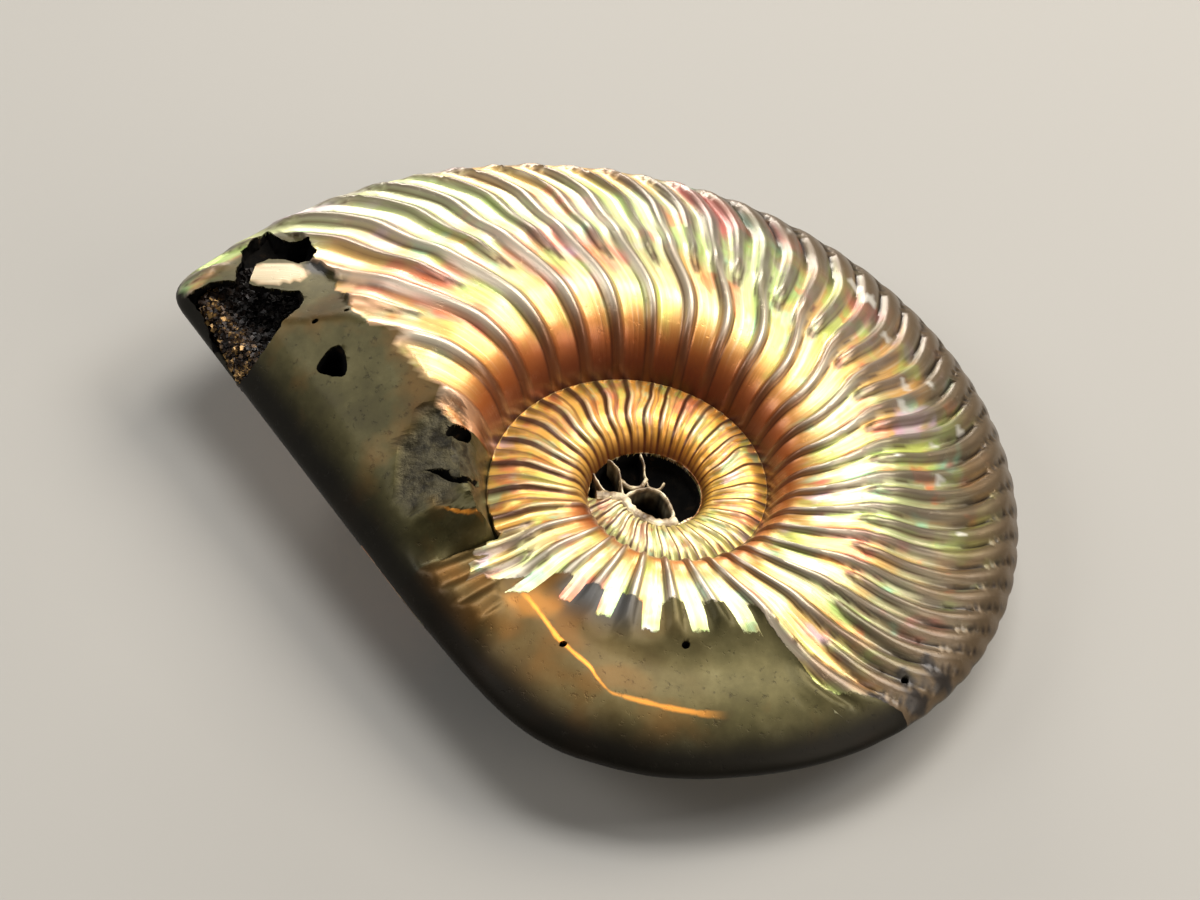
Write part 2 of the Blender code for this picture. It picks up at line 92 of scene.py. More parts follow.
# Ground edge: a straight chord cut across the last whorl, and facets that run on along the rim
CHORD_AZIMUTH = 228.9
CHORD_NORMAL = (math.cos(math.radians(CHORD_AZIMUTH)), math.sin(math.radians(CHORD_AZIMUTH)))
CHORD_DISTANCE = 13.95
RIM_SOFTNESS = 1.2
EDGE_SLOPE = (
    (-138.5, 1.5), (-120, 0.9), (-100, 0.55), (-75, 0.45), (-50, 0.5), (-25, 0.9), (0, 1.1), (160, 1.1),
    (172, 1.5), (221.5, 1.5))
EDGE_RADIUS = (
    (-138.5, 0.55), (-120, 0.45), (-100, 0.4), (-75, 0.35), (-50, 0.3), (-25, 0.2), (0, 0.12), (160, 0.12),
    (172, 0.4), (221.5, 0.55))
TOP_FACET_LEVEL = 1.35
TOP_FACET_SLOPE = 0.14
CORNER_RIDGE = ((-130, 2.4), (-116, 4), (-104, 4), (-95, 3.5), (-86, 2.2))
CORNER_SLOPE = 0.3
# Distance in from the rim of the early part's ridge, which carries a painted highlight
GLINT_RIDGE = (
    (-122, 3.9), (-116, 4.05), (-104, 3.8), (-95, 3.6), (-92, 3.15), (-88, 2.7), (-83, 2.7), (-66, 2.35))
CHORD_RIDGE_INSET = 1.1
CHORD_RIDGE_LEVEL = 2.37
CHORD_FACET_SLOPE = 0.7
SKIN = 0.2

# Where the pearly skin ends on the late part of the last whorl: distance along the chord's normal, at stations
# along the chord. Outside it the core is bare and polished.
NACRE_EDGE = (
    (-24.5, 7.4), (-21.6, 6.8), (-19.8, 7.6), (-18.3, 7.7), (-15.7, 8.5), (-13.8, 8.9), (-11.85, 9),
    (-9.4, 9.4), (-8.2, 9.3), (-7.2, 8.9), (-6.2, 8.6), (-5.9, 7.9), (-5.5, 6.6), (-5.1, 5.2), (-4.5, 4))
NACRE_STEP = 0.08

# Where the skin is ground away on the early part: share of the keel radius at which its fingers end
FINGER_ENDS = (
    (-139, 0.85), (-136.6, 0.9), (-133.5, 0.84), (-131.2, 0.86), (-129, 0.9), (-126, 0.85), (-122.7, 0.78),
    (-118, 0.71), (-113.9, 0.67), (-104.5, 0.645), (-93.8, 0.625), (-84.2, 0.625), (-74.5, 0.6), (-62.6, 0.6),
    (-51, 0.62), (-46.6, 0.76), (-44, 0.9), (-37, 0.97), (-32, 1.05))
FINGER_LENGTH = 0.09
EARLY_END = -32
# What the material reads where no skin is ground away into fingers
NOT_PAST = -0.5

# The broken end comes down by a slope with a groove at its foot: the slope's breadth at each radius
END_GROOVE = 0.12
END_SLOPE_WIDTH = ((9, 0.15), (9.8, 0.2), (10.36, 0.45), (10.8, 0.75), (11.14, 1.1), (11.4, 1.45), (12, 1.9))

# Hollows, as outlines in the plan
CAVITY_MOUTH = (
    (-25.9, 4.54), (-25.36, 4.83), (-24.68, 5.47), (-23.41, 5.63), (-22.49, 5.21), (-21.63, 4.98),
    (-20.55, 4.83), (-19.95, 4.9), (-19.53, 3.65), (-20.17, 2.49), (-20.14, 1.94), (-20.66, 1.41),
    (-21.12, 0.72), (-21.6, 0.34), (-21.75, -0.3), (-23.3, 0.9), (-23.75, 2.3), (-24.46, 3.3), (-25.63, 4.37))
CAVITY_NOTCH = (
    (-23.55, 10.55), (-22.85, 9.7), (-22, 9.2), (-21.01, 9.51), (-20.3, 8.6), (-20.26, 7.62), (-20.85, 7.25),
    (-21.7, 7.6), (-22.5, 7.55), (-23.05, 7.05), (-22.95, 6.15), (-22.85, 5.3), (-23.55, 5.05), (-23.9, 6.4),
    (-23.85, 7.3), (-24.3, 8.3), (-23.95, 9.2), (-23.72, 9.6))
CAVITY_CHAMBER = (
    (-25.6, 4.75), (-25.05, 6), (-24.2, 7.6), (-22.6, 8.6), (-20.8, 8.2), (-19.6, 7), (-19.1, 5), (-19.4, 3.2),
    (-20.4, 1.8), (-21.8, 1.2), (-23.2, 2.4), (-24.6, 3.8))
CAVITY_FLOOR = -0.5
CAVITY_ROOF = 0.4
CAVITY_TOP = 2.4
CAVITY_MIDDLE = (-22.3, 4.9)
TRIANGULAR_HOLE = (
    (-17.79, -0.12), (-17.72, 0.42), (-17.3, 1.1), (-16.63, 1.16), (-15.85, -0.48), (-16.85, -0.44))
WALL_HOLE = ((-10.45, -3.3), (-9.6, -3.15), (-9.15, -2.3), (-9.3, -1.8), (-10, -2.2), (-10.5, -2.75))
CREVICE = ((-11.05, -4.66), (-10.17, -4.79), (-9.61, -5.11), (-9.1, -5.25), (-8.49, -4.69), (-8.2, -3.02))
CREVICE_WIDTH = 0.32
# Level and scale of the outline where a hollow's cutter ends, well above the shell
OPEN_TOP = (9, 1.03)
PINHOLES = (
    (-18.49, 2.27, 0.2), (-17.12, 2.95, 0.17), (-2.42, -10.88, 0.22), (3.04, -9.52, 0.25), (13.45, -7.28, 0.22))

# The innermost whorls are broken open: one deep pit, crossed by the thin septa between its chambers
HUB_SEAM = (-378, -172)
HUB_LIP = (
    (-3.3, -1.2), (-2.95, -1.32), (-2.69, -1.2), (-2.2, -1.1), (-1.8, -1.02), (-1.5, -1.05), (-1.15, -1.4),
    (-0.53, -1.75), (0.27, -1.88), (0.87, -1.68), (1.45, -1.15), (1.75, -0.75))
PIT_FLOOR = -0.9

# Each septum: level of its upper edge, thickness and line
SEPTA = (
    (0.8, 0.1, ((-3.5, 0.34), (-3.09, -0.11), (-2.81, -0.47), (-2.45, -0.68), (-2.02, -0.79), (-1.66, -0.8))),
    (0.72, 0.11, ((-2.98, 1.42), (-2.52, 1.23), (-2.2, 0.94), (-1.98, 0.42), (-1.83, -0.06), (-1.7, -0.41),
        (-1.62, -0.8))),
    (0.66, 0.2, ((-1.98, 0.42), (-1.63, 0.21), (-1.25, 0.14), (-0.93, 0.32), (-0.75, 0.92))),
    (0.6, 0.1, ((-1.36, 2.42), (-1.04, 1.76), (-0.94, 1.32), (-0.75, 0.92))),
    (0.55, 0.12, ((-0.75, 0.92), (-0.52, 0.53), (-0.15, 0.46), (0.06, 0.73), (0.15, 1.03))),
    (0.66, 0.16, ((-1.66, -0.86), (-1.37, -0.3), (-0.94, 0.12), (-0.48, 0.34), (0.04, 0.33), (0.46, 0.01),
        (0.75, -0.41), (0.99, -0.85), (0.95, -1.66))),
    (1.08, 0.46, ((-2.9, -1.22), (-2.1, -1), (-1.66, -0.94), (-1.22, -1.36), (-0.53, -1.74), (0.27, -1.88),
        (0.87, -1.7), (1.2, -1.45))),
)

# White chips, dark spots near the rim, and oval spots of rough ground, rust and grey: middles and reach
CHIPS = (
    (7.3, 16.86, 0.65), (8.24, 15.91, 0.75), (10.8, 9.86, 0.6), (10.82, 8, 0.55), (12.14, 10.78, 0.5),
    (13.39, 4.35, 0.45), (11.04, 4.19, 0.35), (14.1, 8.57, 0.45), (-2.68, 21.21, 0.5), (3.1, 19.8, 0.4),
    (9.4, 13.2, 0.5), (12.9, 6.6, 0.4), (14.9, 1.7, 0.35), (5.9, 18.2, 0.4))
DARK_SPOTS = (
    (14.57, -6.2, 0.9), (15.41, -6.43, 0.8), (13.45, -7.28, 0.8), (14.2, -7.9, 0.9), (12.5, -8.97, 0.9),
    (11.2, -10.4, 0.8))
ROUGH_SPOT = (-10.5, -3.9, 2, 2.6)
RUSTY_SPOT = (-4.2, -9.1, 1.7, 1)
GREY_SPOT = (-19.6, 7.2, 1, 1)

# Flap of skin left between the two openings of the hollow: middle, half length and half width
FLAP = (-21.8, 6.3, 1.6, 0.85)

# Plan of the bed on which the hollow's crystals grow, inside the shell all round
CRYSTAL_BED = (
    (-25.3, 4.8), (-24.9, 5.9), (-24.1, 7.3), (-22.6, 8.3), (-20.9, 7.9), (-19.8, 6.9), (-19.4, 5),
    (-19.75, 3.5), (-20.4, 1.9), (-21, 0.9), (-21.3, 0.4), (-21.8, 0.85), (-22.4, 1.55), (-23.4, 2.75),
    (-24.4, 3.7))

# How the coil lies, as in the CAD
REST_SLOPE = (0.0714, -0.0051)
REST_LEVEL = -4.53
REST_MIDDLE = (-3.9036, 3.6585)

rest_normal = Vector((REST_SLOPE[0], REST_SLOPE[1], -1)).normalized()
REST_TURN = rest_normal.rotation_difference(Vector((0, 0, -1))).to_matrix().to_4x4()
COIL_TO_REST = (Matrix.Translation((-REST_MIDDLE[0] * MM, -REST_MIDDLE[1] * MM, 0)) @ REST_TURN
                @ Matrix.Translation((0, 0, -REST_LEVEL * MM)))


# ---- shape of the coil


def curve(x, knots):
    """Smooth curve through the knots that never overshoots them."""
    kx, ky = (np.array(column, float) for column in zip(*knots))
    step = np.diff(kx)
    rise = np.diff(ky) / step
    slope = np.zeros(len(kx))
    for i in range(1, len(kx) - 1):
        if rise[i - 1] * rise[i] > 0:
            left = 2 * step[i] + step[i - 1]
            right = step[i] + 2 * step[i - 1]
            slope[i] = (left + right) / (left / rise[i - 1] + right / rise[i])
    slope[0] = rise[0]
    slope[-1] = rise[-1]
    x = np.clip(x, kx[0], kx[-1])
    i = np.clip(np.searchsorted(kx, x, side="right") - 1, 0, len(step) - 1)
    t = (x - kx[i]) / step[i]
    return (ky[i] * (2 * t**3 - 3 * t**2 + 1) + step[i] * slope[i] * (t**3 - 2 * t**2 + t)
            + ky[i + 1] * (3 * t**2 - 2 * t**3) + step[i] * slope[i + 1] * (t**3 - t**2))


def ramp(x, start, end):
    t = np.clip((x - start) / (end - start), 0, 1)
    return t * t * (3 - 2 * t)


def soft_min(a, b, width):
    blend = np.maximum(width - np.abs(a - b), 0) / width
    return np.minimum(a, b) - blend * blend * width / 4


def grain(x, y, size, seed=0):
    """Smooth noise from -1 to 1, with lumps about as big as size."""
    return np.array([noise.noise(Vector((a / size, b / size, seed))) for a, b in zip(x, y)])


def keel_radius(angle):
    return KEEL_RADIUS * GROWTH_PER_TURN ** (np.asarray(angle, float) / 360)


def whorl_at(x, y):
    """Angle along the coil of the outermost whorl over a point, and the point's share of its radius."""
    radius = np.maximum(np.hypot(x, y), 1e-3)
    around = np.degrees(np.arctan2(y, x))
    turn = 360 * np.log(radius / (SEAM * KEEL_RADIUS)) / math.log(GROWTH_PER_TURN)
    angle = around + 360 * np.floor((turn - around) / 360 + 1e-9)
    angle = np.where(angle > LAST_ANGLE, angle - 360, angle)
    return angle, radius / keel_radius(angle)


def rib_lean(u, shoulder):
    outer = np.clip((u - 0.6) / 0.4, 0, 1)
    last = np.clip((u - 0.8) / 0.2, 0, 1)
    return (curve(shoulder, RIB_LEAN) * ramp(u, 0.38, 0.6) + curve(shoulder, RIB_SWEEP) * outer
            + curve(shoulder, KEEL_SWEEP) * last**1.6)


def phase_gap(phase, centre):
    """How far a place is from the nearest one at this share of a rib spacing."""
    away = phase - centre
    return np.abs(away - np.round(away))


def cord(phase, centre, half_width, sharpness):
    """Rounded rib across one rib spacing, from 0 at its foot to 1 on its crest."""
    return np.maximum(1 - (phase_gap(phase, centre) / half_width) ** 2, 0) ** sharpness


def away_from(x, y, spot):
    """Distance from an oval spot's middle, as a share of its reach."""
    middle_x, middle_y, reach_x, reach_y = spot
    return np.hypot((x - middle_x) / reach_x, (y - middle_y) / reach_y)


def rib_profile(u, angle):
    """Rib count at a point, and its height on the rib from 0 in the groove to 1 on the crest."""
    shoulder = angle
    for _ in range(4):
        shoulder = angle - rib_lean(u, shoulder)
    phase = curve(shoulder, RIB_COUNT)
    begin = curve(angle, RIB_SPLIT)
    spread = ramp(u, begin, begin + 0.3)
    fresh = ramp(angle, *FRESH_FROM)
    wide = ramp(u, 0.74, 0.92) * (1 - fresh)
    broad = spread * (1 - fresh)
    first = cord(phase, CREST_PHASE + 0.2 * broad - 0.05 * fresh, 0.2 - 0.06 * spread * fresh + 0.06 * wide,
                 1.4 - 0.6 * wide)
    second = cord(phase, 0.75 - 0.27 * fresh, 0.17 - 0.03 * fresh + 0.08 * wide, 1.3 + 0.5 * fresh - 0.5 * wide)
    second = second * ramp(u, begin + 0.1 - 0.04 * fresh, begin + 0.24)
    dish = 0.16 * (1 - broad) * (0.5 + 0.5 * np.cos(2 * np.pi * (phase - CREST_PHASE)))
    return phase, np.maximum(first, second) * (1 - 0.16 * (1 - broad)) + dish


def whorl_height(angle, u, bare_share, rib_share=1):
    last_whorl = angle > FIRST_ANGLE - 10
    bulge = curve(angle, KEEL_BULGE) * last_whorl
    v = u / (1 + bulge * ramp(u, 0.72, 1))
    sharp = curve(v, SECTION)
    blunt = np.where(v > BLUNT_SECTION[0][0], curve(v, BLUNT_SECTION), sharp)
    half = sharp + (blunt - sharp) * (1 - ramp(angle, *BLUNT_FADE)) * last_whorl
    half = np.sqrt(half**2 + 2 * KEEL_ROUNDING * np.clip(1 - v, 0, 1) * ramp(v, 0.85, 1))
    _, profile = rib_profile(v, angle)
    relief = curve(v, RIB_HEIGHT) * (profile - 0.5) * (1 - bare_share) * rib_share
    return keel_radius(angle) * (half + relief) - SKIN * bare_share


def toward_chord(x, y):
    return x * CHORD_NORMAL[0] + y * CHORD_NORMAL[1]


def edge_distance(x, y):
    """Distance inwards from the rim, and from the chord alone."""
    around = np.degrees(np.arctan2(y, x))
    last = np.where(around < FIRST_ANGLE, around + 360, around)
    scallop = RIM_SCALLOP * (1 - rib_profile(np.full_like(last, 0.96), last)[1])
    scallop = scallop * ramp(last, -45, -25) * ramp(last, 175, 150)
    keel = keel_radius(last) * (1 + curve(last, KEEL_BULGE) - scallop)
    chord = CHORD_DISTANCE - x * CHORD_NORMAL[0] - y * CHORD_NORMAL[1]
    return soft_min(keel - np.hypot(x, y), chord, RIM_SOFTNESS), chord, last


def late_facet(chord):
    return CHORD_RIDGE_LEVEL + CHORD_FACET_SLOPE * (chord - CHORD_RIDGE_INSET)


def early_facets(inside, chord, last):
    """Height of the early part's facets, on top and across its corner, and of the late one past the broken end."""
    top_facet = TOP_FACET_LEVEL + TOP_FACET_SLOPE * inside + 0.12 * np.maximum(inside - 4.2, 0) ** 2
    ridge = curve(last, CORNER_RIDGE)
    corner_facet = TOP_FACET_LEVEL + TOP_FACET_SLOPE * ridge - CORNER_SLOPE * (ridge - inside)
    early = soft_min(top_facet + 5 * ramp(last, -50, -12), corner_facet + 3 * ramp(last, -88, -76), 0.1)
    run_on = ramp(last, -114, -133) * ramp(inside, 3.6, 1.8)
    return early + (late_facet(chord) - early) * run_on


def ground_height(x, y):
    """Half thickness left by the grinding: the rim's rounding and the facets above it."""
    distance, chord, last = edge_distance(x, y)
    inside = np.maximum(distance, 0)
    edge = np.sqrt((curve(last, EDGE_SLOPE) * inside) ** 2 + 2 * curve(last, EDGE_RADIUS) * inside)
    low = soft_min(early_facets(inside, chord, last), edge, 0.4)
    high = soft_min(late_facet(chord), edge, 0.6)
    return np.where(last < 20, low, np.where(last > 110, high, edge))


def ragged_margin(along):
    ragged = 0.3 * grain(along, 0 * along, 1.1) + 0.14 * grain(along, 0 * along, 0.35, 3)
    return ragged * ramp(along, -5.8, -7.5)


def skin_edge(x, y):
    """How far a point lies outside the pearly skin's ragged edge on the late part of the last whorl."""
    across = toward_chord(x, y)
    along = y * CHORD_NORMAL[0] - x * CHORD_NORMAL[1]
    return across - curve(along, NACRE_EDGE) - ragged_margin(along)


def bare(x, y, angle, u):
    outside = ramp(skin_edge(x, y), -NACRE_STEP, NACRE_STEP)
    return outside * ramp(angle, 150, 158) * (1 - ramp(u, 0.93, 0.96))


def rough_ground(x, y):
    """Share of roughness on the unpolished ground by the broken end."""
    away = away_from(x, y, ROUGH_SPOT) + 0.25 * grain(x, y, 0.8, 18)
    return ramp(away, 1.05, 0.75) * (toward_chord(x, y) > 5)


def end_width(x, y):
    """Breadth of the slope by which the broken end comes down, wider toward the rim."""
    return curve(np.hypot(x, y), END_SLOPE_WIDTH)


def upper_half_height(x, y):
    """Half thickness on the side that shows: ribs, bare core, broken end and ground facets included."""
    angle, u = whorl_at(x, y)
    z = whorl_height(angle, u, bare(x, y, angle, u))
    from_end = np.hypot(x, y) * np.radians(LAST_ANGLE - angle)
    distance, chord, _ = edge_distance(x, y)
    before = angle - 360
    start = np.minimum(whorl_height(before, u * GROWTH_PER_TURN, 1), early_facets(distance, chord, before))
    z = np.minimum(np.maximum(z, LEAST_HALF_THICKNESS), ground_height(x, y))
    rise = np.clip(from_end / end_width(x, y), 0, 1)
    block = start + (z - start) * rise - END_GROOVE * ramp(distance, 1.9, 2.6) * ramp(from_end, 0.25, 0)
    z = np.where(angle > LAST_ANGLE - 22, np.minimum(z, block), z)
    return z - rough_ground(x, y) * (0.14 + 0.2 * grain(x, y, 0.6, 20) + 0.12 * grain(x, y, 0.22, 21))


def lower_half_height(x, y):
    """Half thickness on the underside: ribs worn low all along, and a hub plugged with matrix."""
    angle, u = whorl_at(x, y)
    worn = whorl_height(angle, u, 0, 1 - LOWER_RIB_WEAR)
    plug = np.maximum(LOWER_HUB_PLUG - 0.2 * np.hypot(x, y), LEAST_HALF_THICKNESS)
    return np.minimum(np.maximum(worn, plug), ground_height(x, y))


# ---- meshes


def polar(radius, angle):
    return radius * np.cos(np.radians(angle)), radius * np.sin(np.radians(angle))


def polar_line(radius, angle):
    return list(zip(*polar(radius, angle)))


def rim_radius(angle):
    """Radius of the rim in each direction from the hub, found by halving."""
    near = np.zeros_like(angle)
    far = np.full_like(angle, 40)
    for _ in range(40):
        middle = (near + far) / 2
        inside = edge_distance(*polar(middle, angle))[0] > 0
        near = np.where(inside, middle, near)
        far = np.where(inside, far, middle)
    return near


def kept_runs(points, kept):
    """Unbroken runs of the points that are kept."""
    runs = [[]]
    for point, keep in zip(points, kept):
        if keep:
            runs[-1].append(point)
        elif runs[-1]:
            runs.append([])
    return [run for run in runs if run]


def sheet(lines):
    """Plan points and triangles of a constrained triangulation. The first line is the closed rim."""
    points = []
    edges = []
    for line in lines:
        first = len(points)
        points += [Vector(point) for point in line]
        edges += [(first + i, first + i + 1) for i in range(len(line) - 1)]
        if first == 0:
            edges.append((len(line) - 1, 0))
    plan, _, triangles, *_ = delaunay_2d_cdt(points, edges, [], 1, 1e-5)
    x, y = np.array([tuple(point) for point in plan]).T
    return x, y, triangles


def placed(name, data):
    thing = bpy.data.objects.new(name, data)
    bpy.context.scene.collection.objects.link(thing)
    return thing


def triangulate(data, weld=0):
    mesh = bmesh.new()
    mesh.from_mesh(data)
    if weld:
        bmesh.ops.remove_doubles(mesh, verts=mesh.verts, dist=weld)
    bmesh.ops.triangulate(mesh, faces=mesh.faces)
    mesh.to_mesh(data)
    mesh.free()


def applied(thing):
    """Makes an object's modifiers part of its mesh."""
    data = bpy.data.meshes.new_from_object(thing.evaluated_get(bpy.context.evaluated_depsgraph_get()))
    thing.modifiers.clear()
    thing.data = data
    return data


def mesh_object(name, vertices, faces, weld):
    """Object from loose faces, welded, in metres and in the rest frame."""
    data = bpy.data.meshes.new(name)
    data.from_pydata([tuple(v) for v in vertices * MM], [], faces)
    triangulate(data, weld)
    data.transform(COIL_TO_REST)
    return placed(name, data)


def solid_between(name, upper, lower, top, bottom, weld):
    """Closed solid between two height fields. Two plans share their rim; a single plan gets upright walls."""
    x, y, up = sheet(upper)
    p, q, down = (x, y, up) if lower is upper else sheet(lower)
    vertices = np.vstack((np.column_stack((x, y, top(x, y))), np.column_stack((p, q, bottom(p, q)))))
    first = len(x)
    faces = [tuple(triangle) for triangle in up]
    faces += [tuple(i + first for i in reversed(triangle)) for triangle in down]
    if lower is upper:
        used = {(t[i], t[(i + 1) % 3]) for t in up for i in range(3)}
        faces += [(b, a, a + first, b + first) for a, b in used if (b, a) not in used]
    return mesh_object(name, vertices, faces, weld)


def coil_lines(rib_step, rows, inner_step, inner_rows, insets):
    """Plan of the coil: the rim, seams and edges, and lines that follow the crests and valleys of the ribs."""
    rim_angles = np.append(np.arange(FIRST_ANGLE + 0.5, 160, 0.9), np.arange(160, LAST_ANGLE, 0.6))
    rim = rim_radius(rim_angles)
    lines = [polar_line(rim - inset, rim_angles) for inset in (0, *insets)]
    seam_angles = np.arange(FIRST_ANGLE - 620, LAST_ANGLE, 0.8)
    seam = SEAM * keel_radius(seam_angles)
    lines += [polar_line(share * seam, seam_angles) for share in (0.996, 1.004)]
    end_rim = rim_radius(np.array([LAST_ANGLE]))[0]
    end_radii = np.linspace(SEAM * keel_radius(LAST_ANGLE) + 0.05, end_rim - 1.9, 30)
    lines += [polar_line(end_radii, LAST_ANGLE - np.degrees(setback / end_radii))
              for setback in (-0.15, 0.02, 0.3, 0.6, 0.9, 1.2, 1.4)]
    angles = np.arange(-1000, 260, 0.25)
    counted = curve(angles, RIB_COUNT)
    first_inner = int(np.interp(FIRST_ANGLE, angles, counted))
    steps = np.append(np.arange(-48, first_inner, inner_step), np.arange(first_inner, 24, rib_step))
    for count in steps:
        shoulder = np.interp(count, counted, angles)
        shares = inner_rows if shoulder < FIRST_ANGLE else rows
        angle = shoulder + rib_lean(shares, shoulder)
        x, y = polar(shares * keel_radius(angle), angle)
        seen, _ = whorl_at(x, y)
        distance, _, _ = edge_distance(x, y)
        lines += kept_runs(zip(x, y), (np.abs(seen - angle) < 1e-6) & (distance > insets[-1] + 0.12))
    return lines


def skin_edge_lines():
    """Lines along the pearly skin's edge, so that its step is crisp."""
    lines = []
    along = np.arange(NACRE_EDGE[0][0], -4, 0.13)
    for step in (-NACRE_STEP, 0, NACRE_STEP):
        across = curve(along, NACRE_EDGE) + ragged_margin(along) + step
        x = across * CHORD_NORMAL[0] - along * CHORD_NORMAL[1]
        y = across * CHORD_NORMAL[1] + along * CHORD_NORMAL[0]
        angle, u = whorl_at(x, y)
        lines += kept_runs(zip(x, y), (angle > 150) & (u < 0.95))
    return lines


def resampled(outline, spacing):
    """The same closed outline with points evenly spaced."""
    points = []
    for start, end in zip(outline, outline[1:] + outline[:1]):
        start, end = Vector(start), Vector(end)
        count = max(1, round((end - start).length / spacing))
        points += [start.lerp(end, i / count) for i in range(count)]
    return points


def rounded(outline, times=2):
    """The same closed outline with its corners cut."""
    points = [Vector(point) for point in outline]
    for _ in range(times):
        pairs = zip(points, points[1:] + points[:1])
        points = [start.lerp(end, share) for start, end in pairs for share in (0.25, 0.75)]
    return points


def rough_cutter(name, outline, levels, roughness, spacing=0.1):
    """Closed solid lofted through copies of an outline, each a height and a scale, with a rough wall."""
    points = resampled(outline, spacing)
    centre = sum(points, Vector((0, 0))) / len(points)
    if sum((a - centre).cross(b - centre) for a, b in zip(points, points[1:] + points[:1])) < 0:
        points.reverse()
    heights, scales = zip(*levels)
    bottom, top = heights[0], heights[-1]
    vertices = []
    rows = np.unique(np.append(np.arange(bottom, min(top, bottom + 5), 0.2), heights))
    for height in rows:
        scale = np.interp(height, heights, scales)
        for point in points:
            spot = centre + (point - centre) * scale
            here = Vector((spot.x, spot.y, height))
            push = noise.noise(here * 2.2) * roughness + noise.noise(here * 6) * roughness * 0.6
            spot += (point - centre).normalized() * push
            vertices.append((spot.x, spot.y, height))
    count = len(points)
    last_row = len(vertices) - count
    vertices += [(*centre, bottom), (*centre, top)]
    around = [(i, (i + 1) % count) for i in range(count)]
    faces = [(k + i, k + j, k + count + j, k + count + i) for k in range(0, last_row, count) for i, j in around]
    for i, j in around:
        faces += [(len(vertices) - 2, j, i), (len(vertices) - 1, last_row + i, last_row + j)]
    return mesh_object(name, np.array(vertices), faces, 1e-7)


def pinhole_outline(x, y, radius):
    turned = Matrix.Rotation(math.radians(30), 2)
    steps = [2 * math.pi * i / 14 for i in range(14)]
    spots = [turned @ Vector((radius * math.cos(step), 0.8 * radius * math.sin(step))) for step in steps]
    return [(x + spot.x, y + spot.y) for spot in spots]


def band_outline(points, width):
    """Outline of a band of even width along a line, pointed at both ends."""
    sides = ([], [])
    for before, point, after in zip(points, points[1:], points[2:]):
        heading = Vector(after) - Vector(before)
        normal = Vector((-heading.y, heading.x)).normalized() * width / 2
        sides[0].append(tuple(Vector(point) - normal))
        sides[1].append(tuple(Vector(point) + normal))
    return [points[0], *sides[0], points[-1], *sides[1][::-1]]


def ringed_plan(outline, scales):
    """Plan of a closed outline with points on smaller copies of it inside."""
    points = resampled(outline, 0.3)
    centre = sum(points, Vector((0, 0))) / len(points)
    inner_points = [[tuple(centre + (point - centre) * scale)] for scale in scales for point in points]
    return [[tuple(point) for point in points], *inner_points]


def chamber_floor(x, y):
    """Floor of the hidden hollow, a rough shallow bowl."""
    from_middle = np.hypot(x - CAVITY_MIDDLE[0], y - CAVITY_MIDDLE[1])
    return CAVITY_FLOOR + 0.06 * from_middle**2 + 0.12 * grain(x, y, 0.7)


def chamber_roof(x, y):
    return np.minimum(upper_half_height(x, y) - CAVITY_ROOF, CAVITY_TOP) + 0.1 * grain(x, y, 0.6, 5)


def coil_places(data):
    """Places of a mesh's points in the coil's own frame."""
    places = np.empty(len(data.vertices) * 3)
    data.vertices.foreach_get("co", places)
    to_coil = np.array(COIL_TO_REST.inverted())
    return (places.reshape(-1, 3) @ to_coil[:3, :3].T + to_coil[:3, 3]).T / MM


def store(data, name, values):
    """Keeps a number or a vector for each point of a mesh, for its material to read."""
    kind, field = ("FLOAT", "value") if np.ndim(values) == 1 else ("FLOAT_VECTOR", "vector")
    data.attributes.new(name, kind, "POINT").data.foreach_set(field, np.asarray(values, np.float32).ravel())


# ---- materials


def srgb(code):
    """Linear colour from an sRGB hex value."""
    parts = [int(code[i:i + 2], 16) / 255 for i in (1, 3, 5)]
    return (*(p / 12.92 if p <= 0.04045 else ((p + 0.055) / 1.055) ** 2.4 for p in parts), 1)


def add(tree, kind, inputs=(), stops=(), **settings):
    """Adds a node with its settings, colour stops, and inputs or links by name or in their order, and gives its
    first output if it has one. A kind that names no family is a shader node."""
    node = tree.nodes.new(kind if "Node" in kind else "ShaderNode" + kind)
    for name, value in settings.items():
        setattr(node, name, value)
    for i, (position, code) in enumerate(stops):
        stop = node.color_ramp.elements[i] if i < 2 else node.color_ramp.elements.new(position)
        stop.position = position
        stop.color = srgb(code)
    sockets = [socket for socket in node.inputs if socket.enabled]
    for key, value in inputs.items() if isinstance(inputs, dict) else enumerate(inputs):
        socket = sockets[key] if isinstance(key, int) else [s for s in sockets if key in (s.name, s.identifier)][0]
        if isinstance(value, bpy.types.NodeSocket):
            tree.links.new(value, socket)
        else:
            socket.default_value = value
    outputs = [socket for socket in node.outputs if socket.enabled]
    return outputs[0] if outputs else node


def new_tree(name):
    """Empty node tree of a new material, and the place of a point on the object."""
    material = bpy.data.materials.new(name)
    material.use_nodes = True
    material.node_tree.nodes.clear()
    place = add(material.node_tree, "TexCoord").node.outputs["Object"]
    return material, material.node_tree, place


def surfaced(material, looks):
    """The material, with a surface of these looks."""
    surface = add(material.node_tree, "BsdfPrincipled", looks)
    add(material.node_tree, "OutputMaterial", {"Surface": surface})
    return material


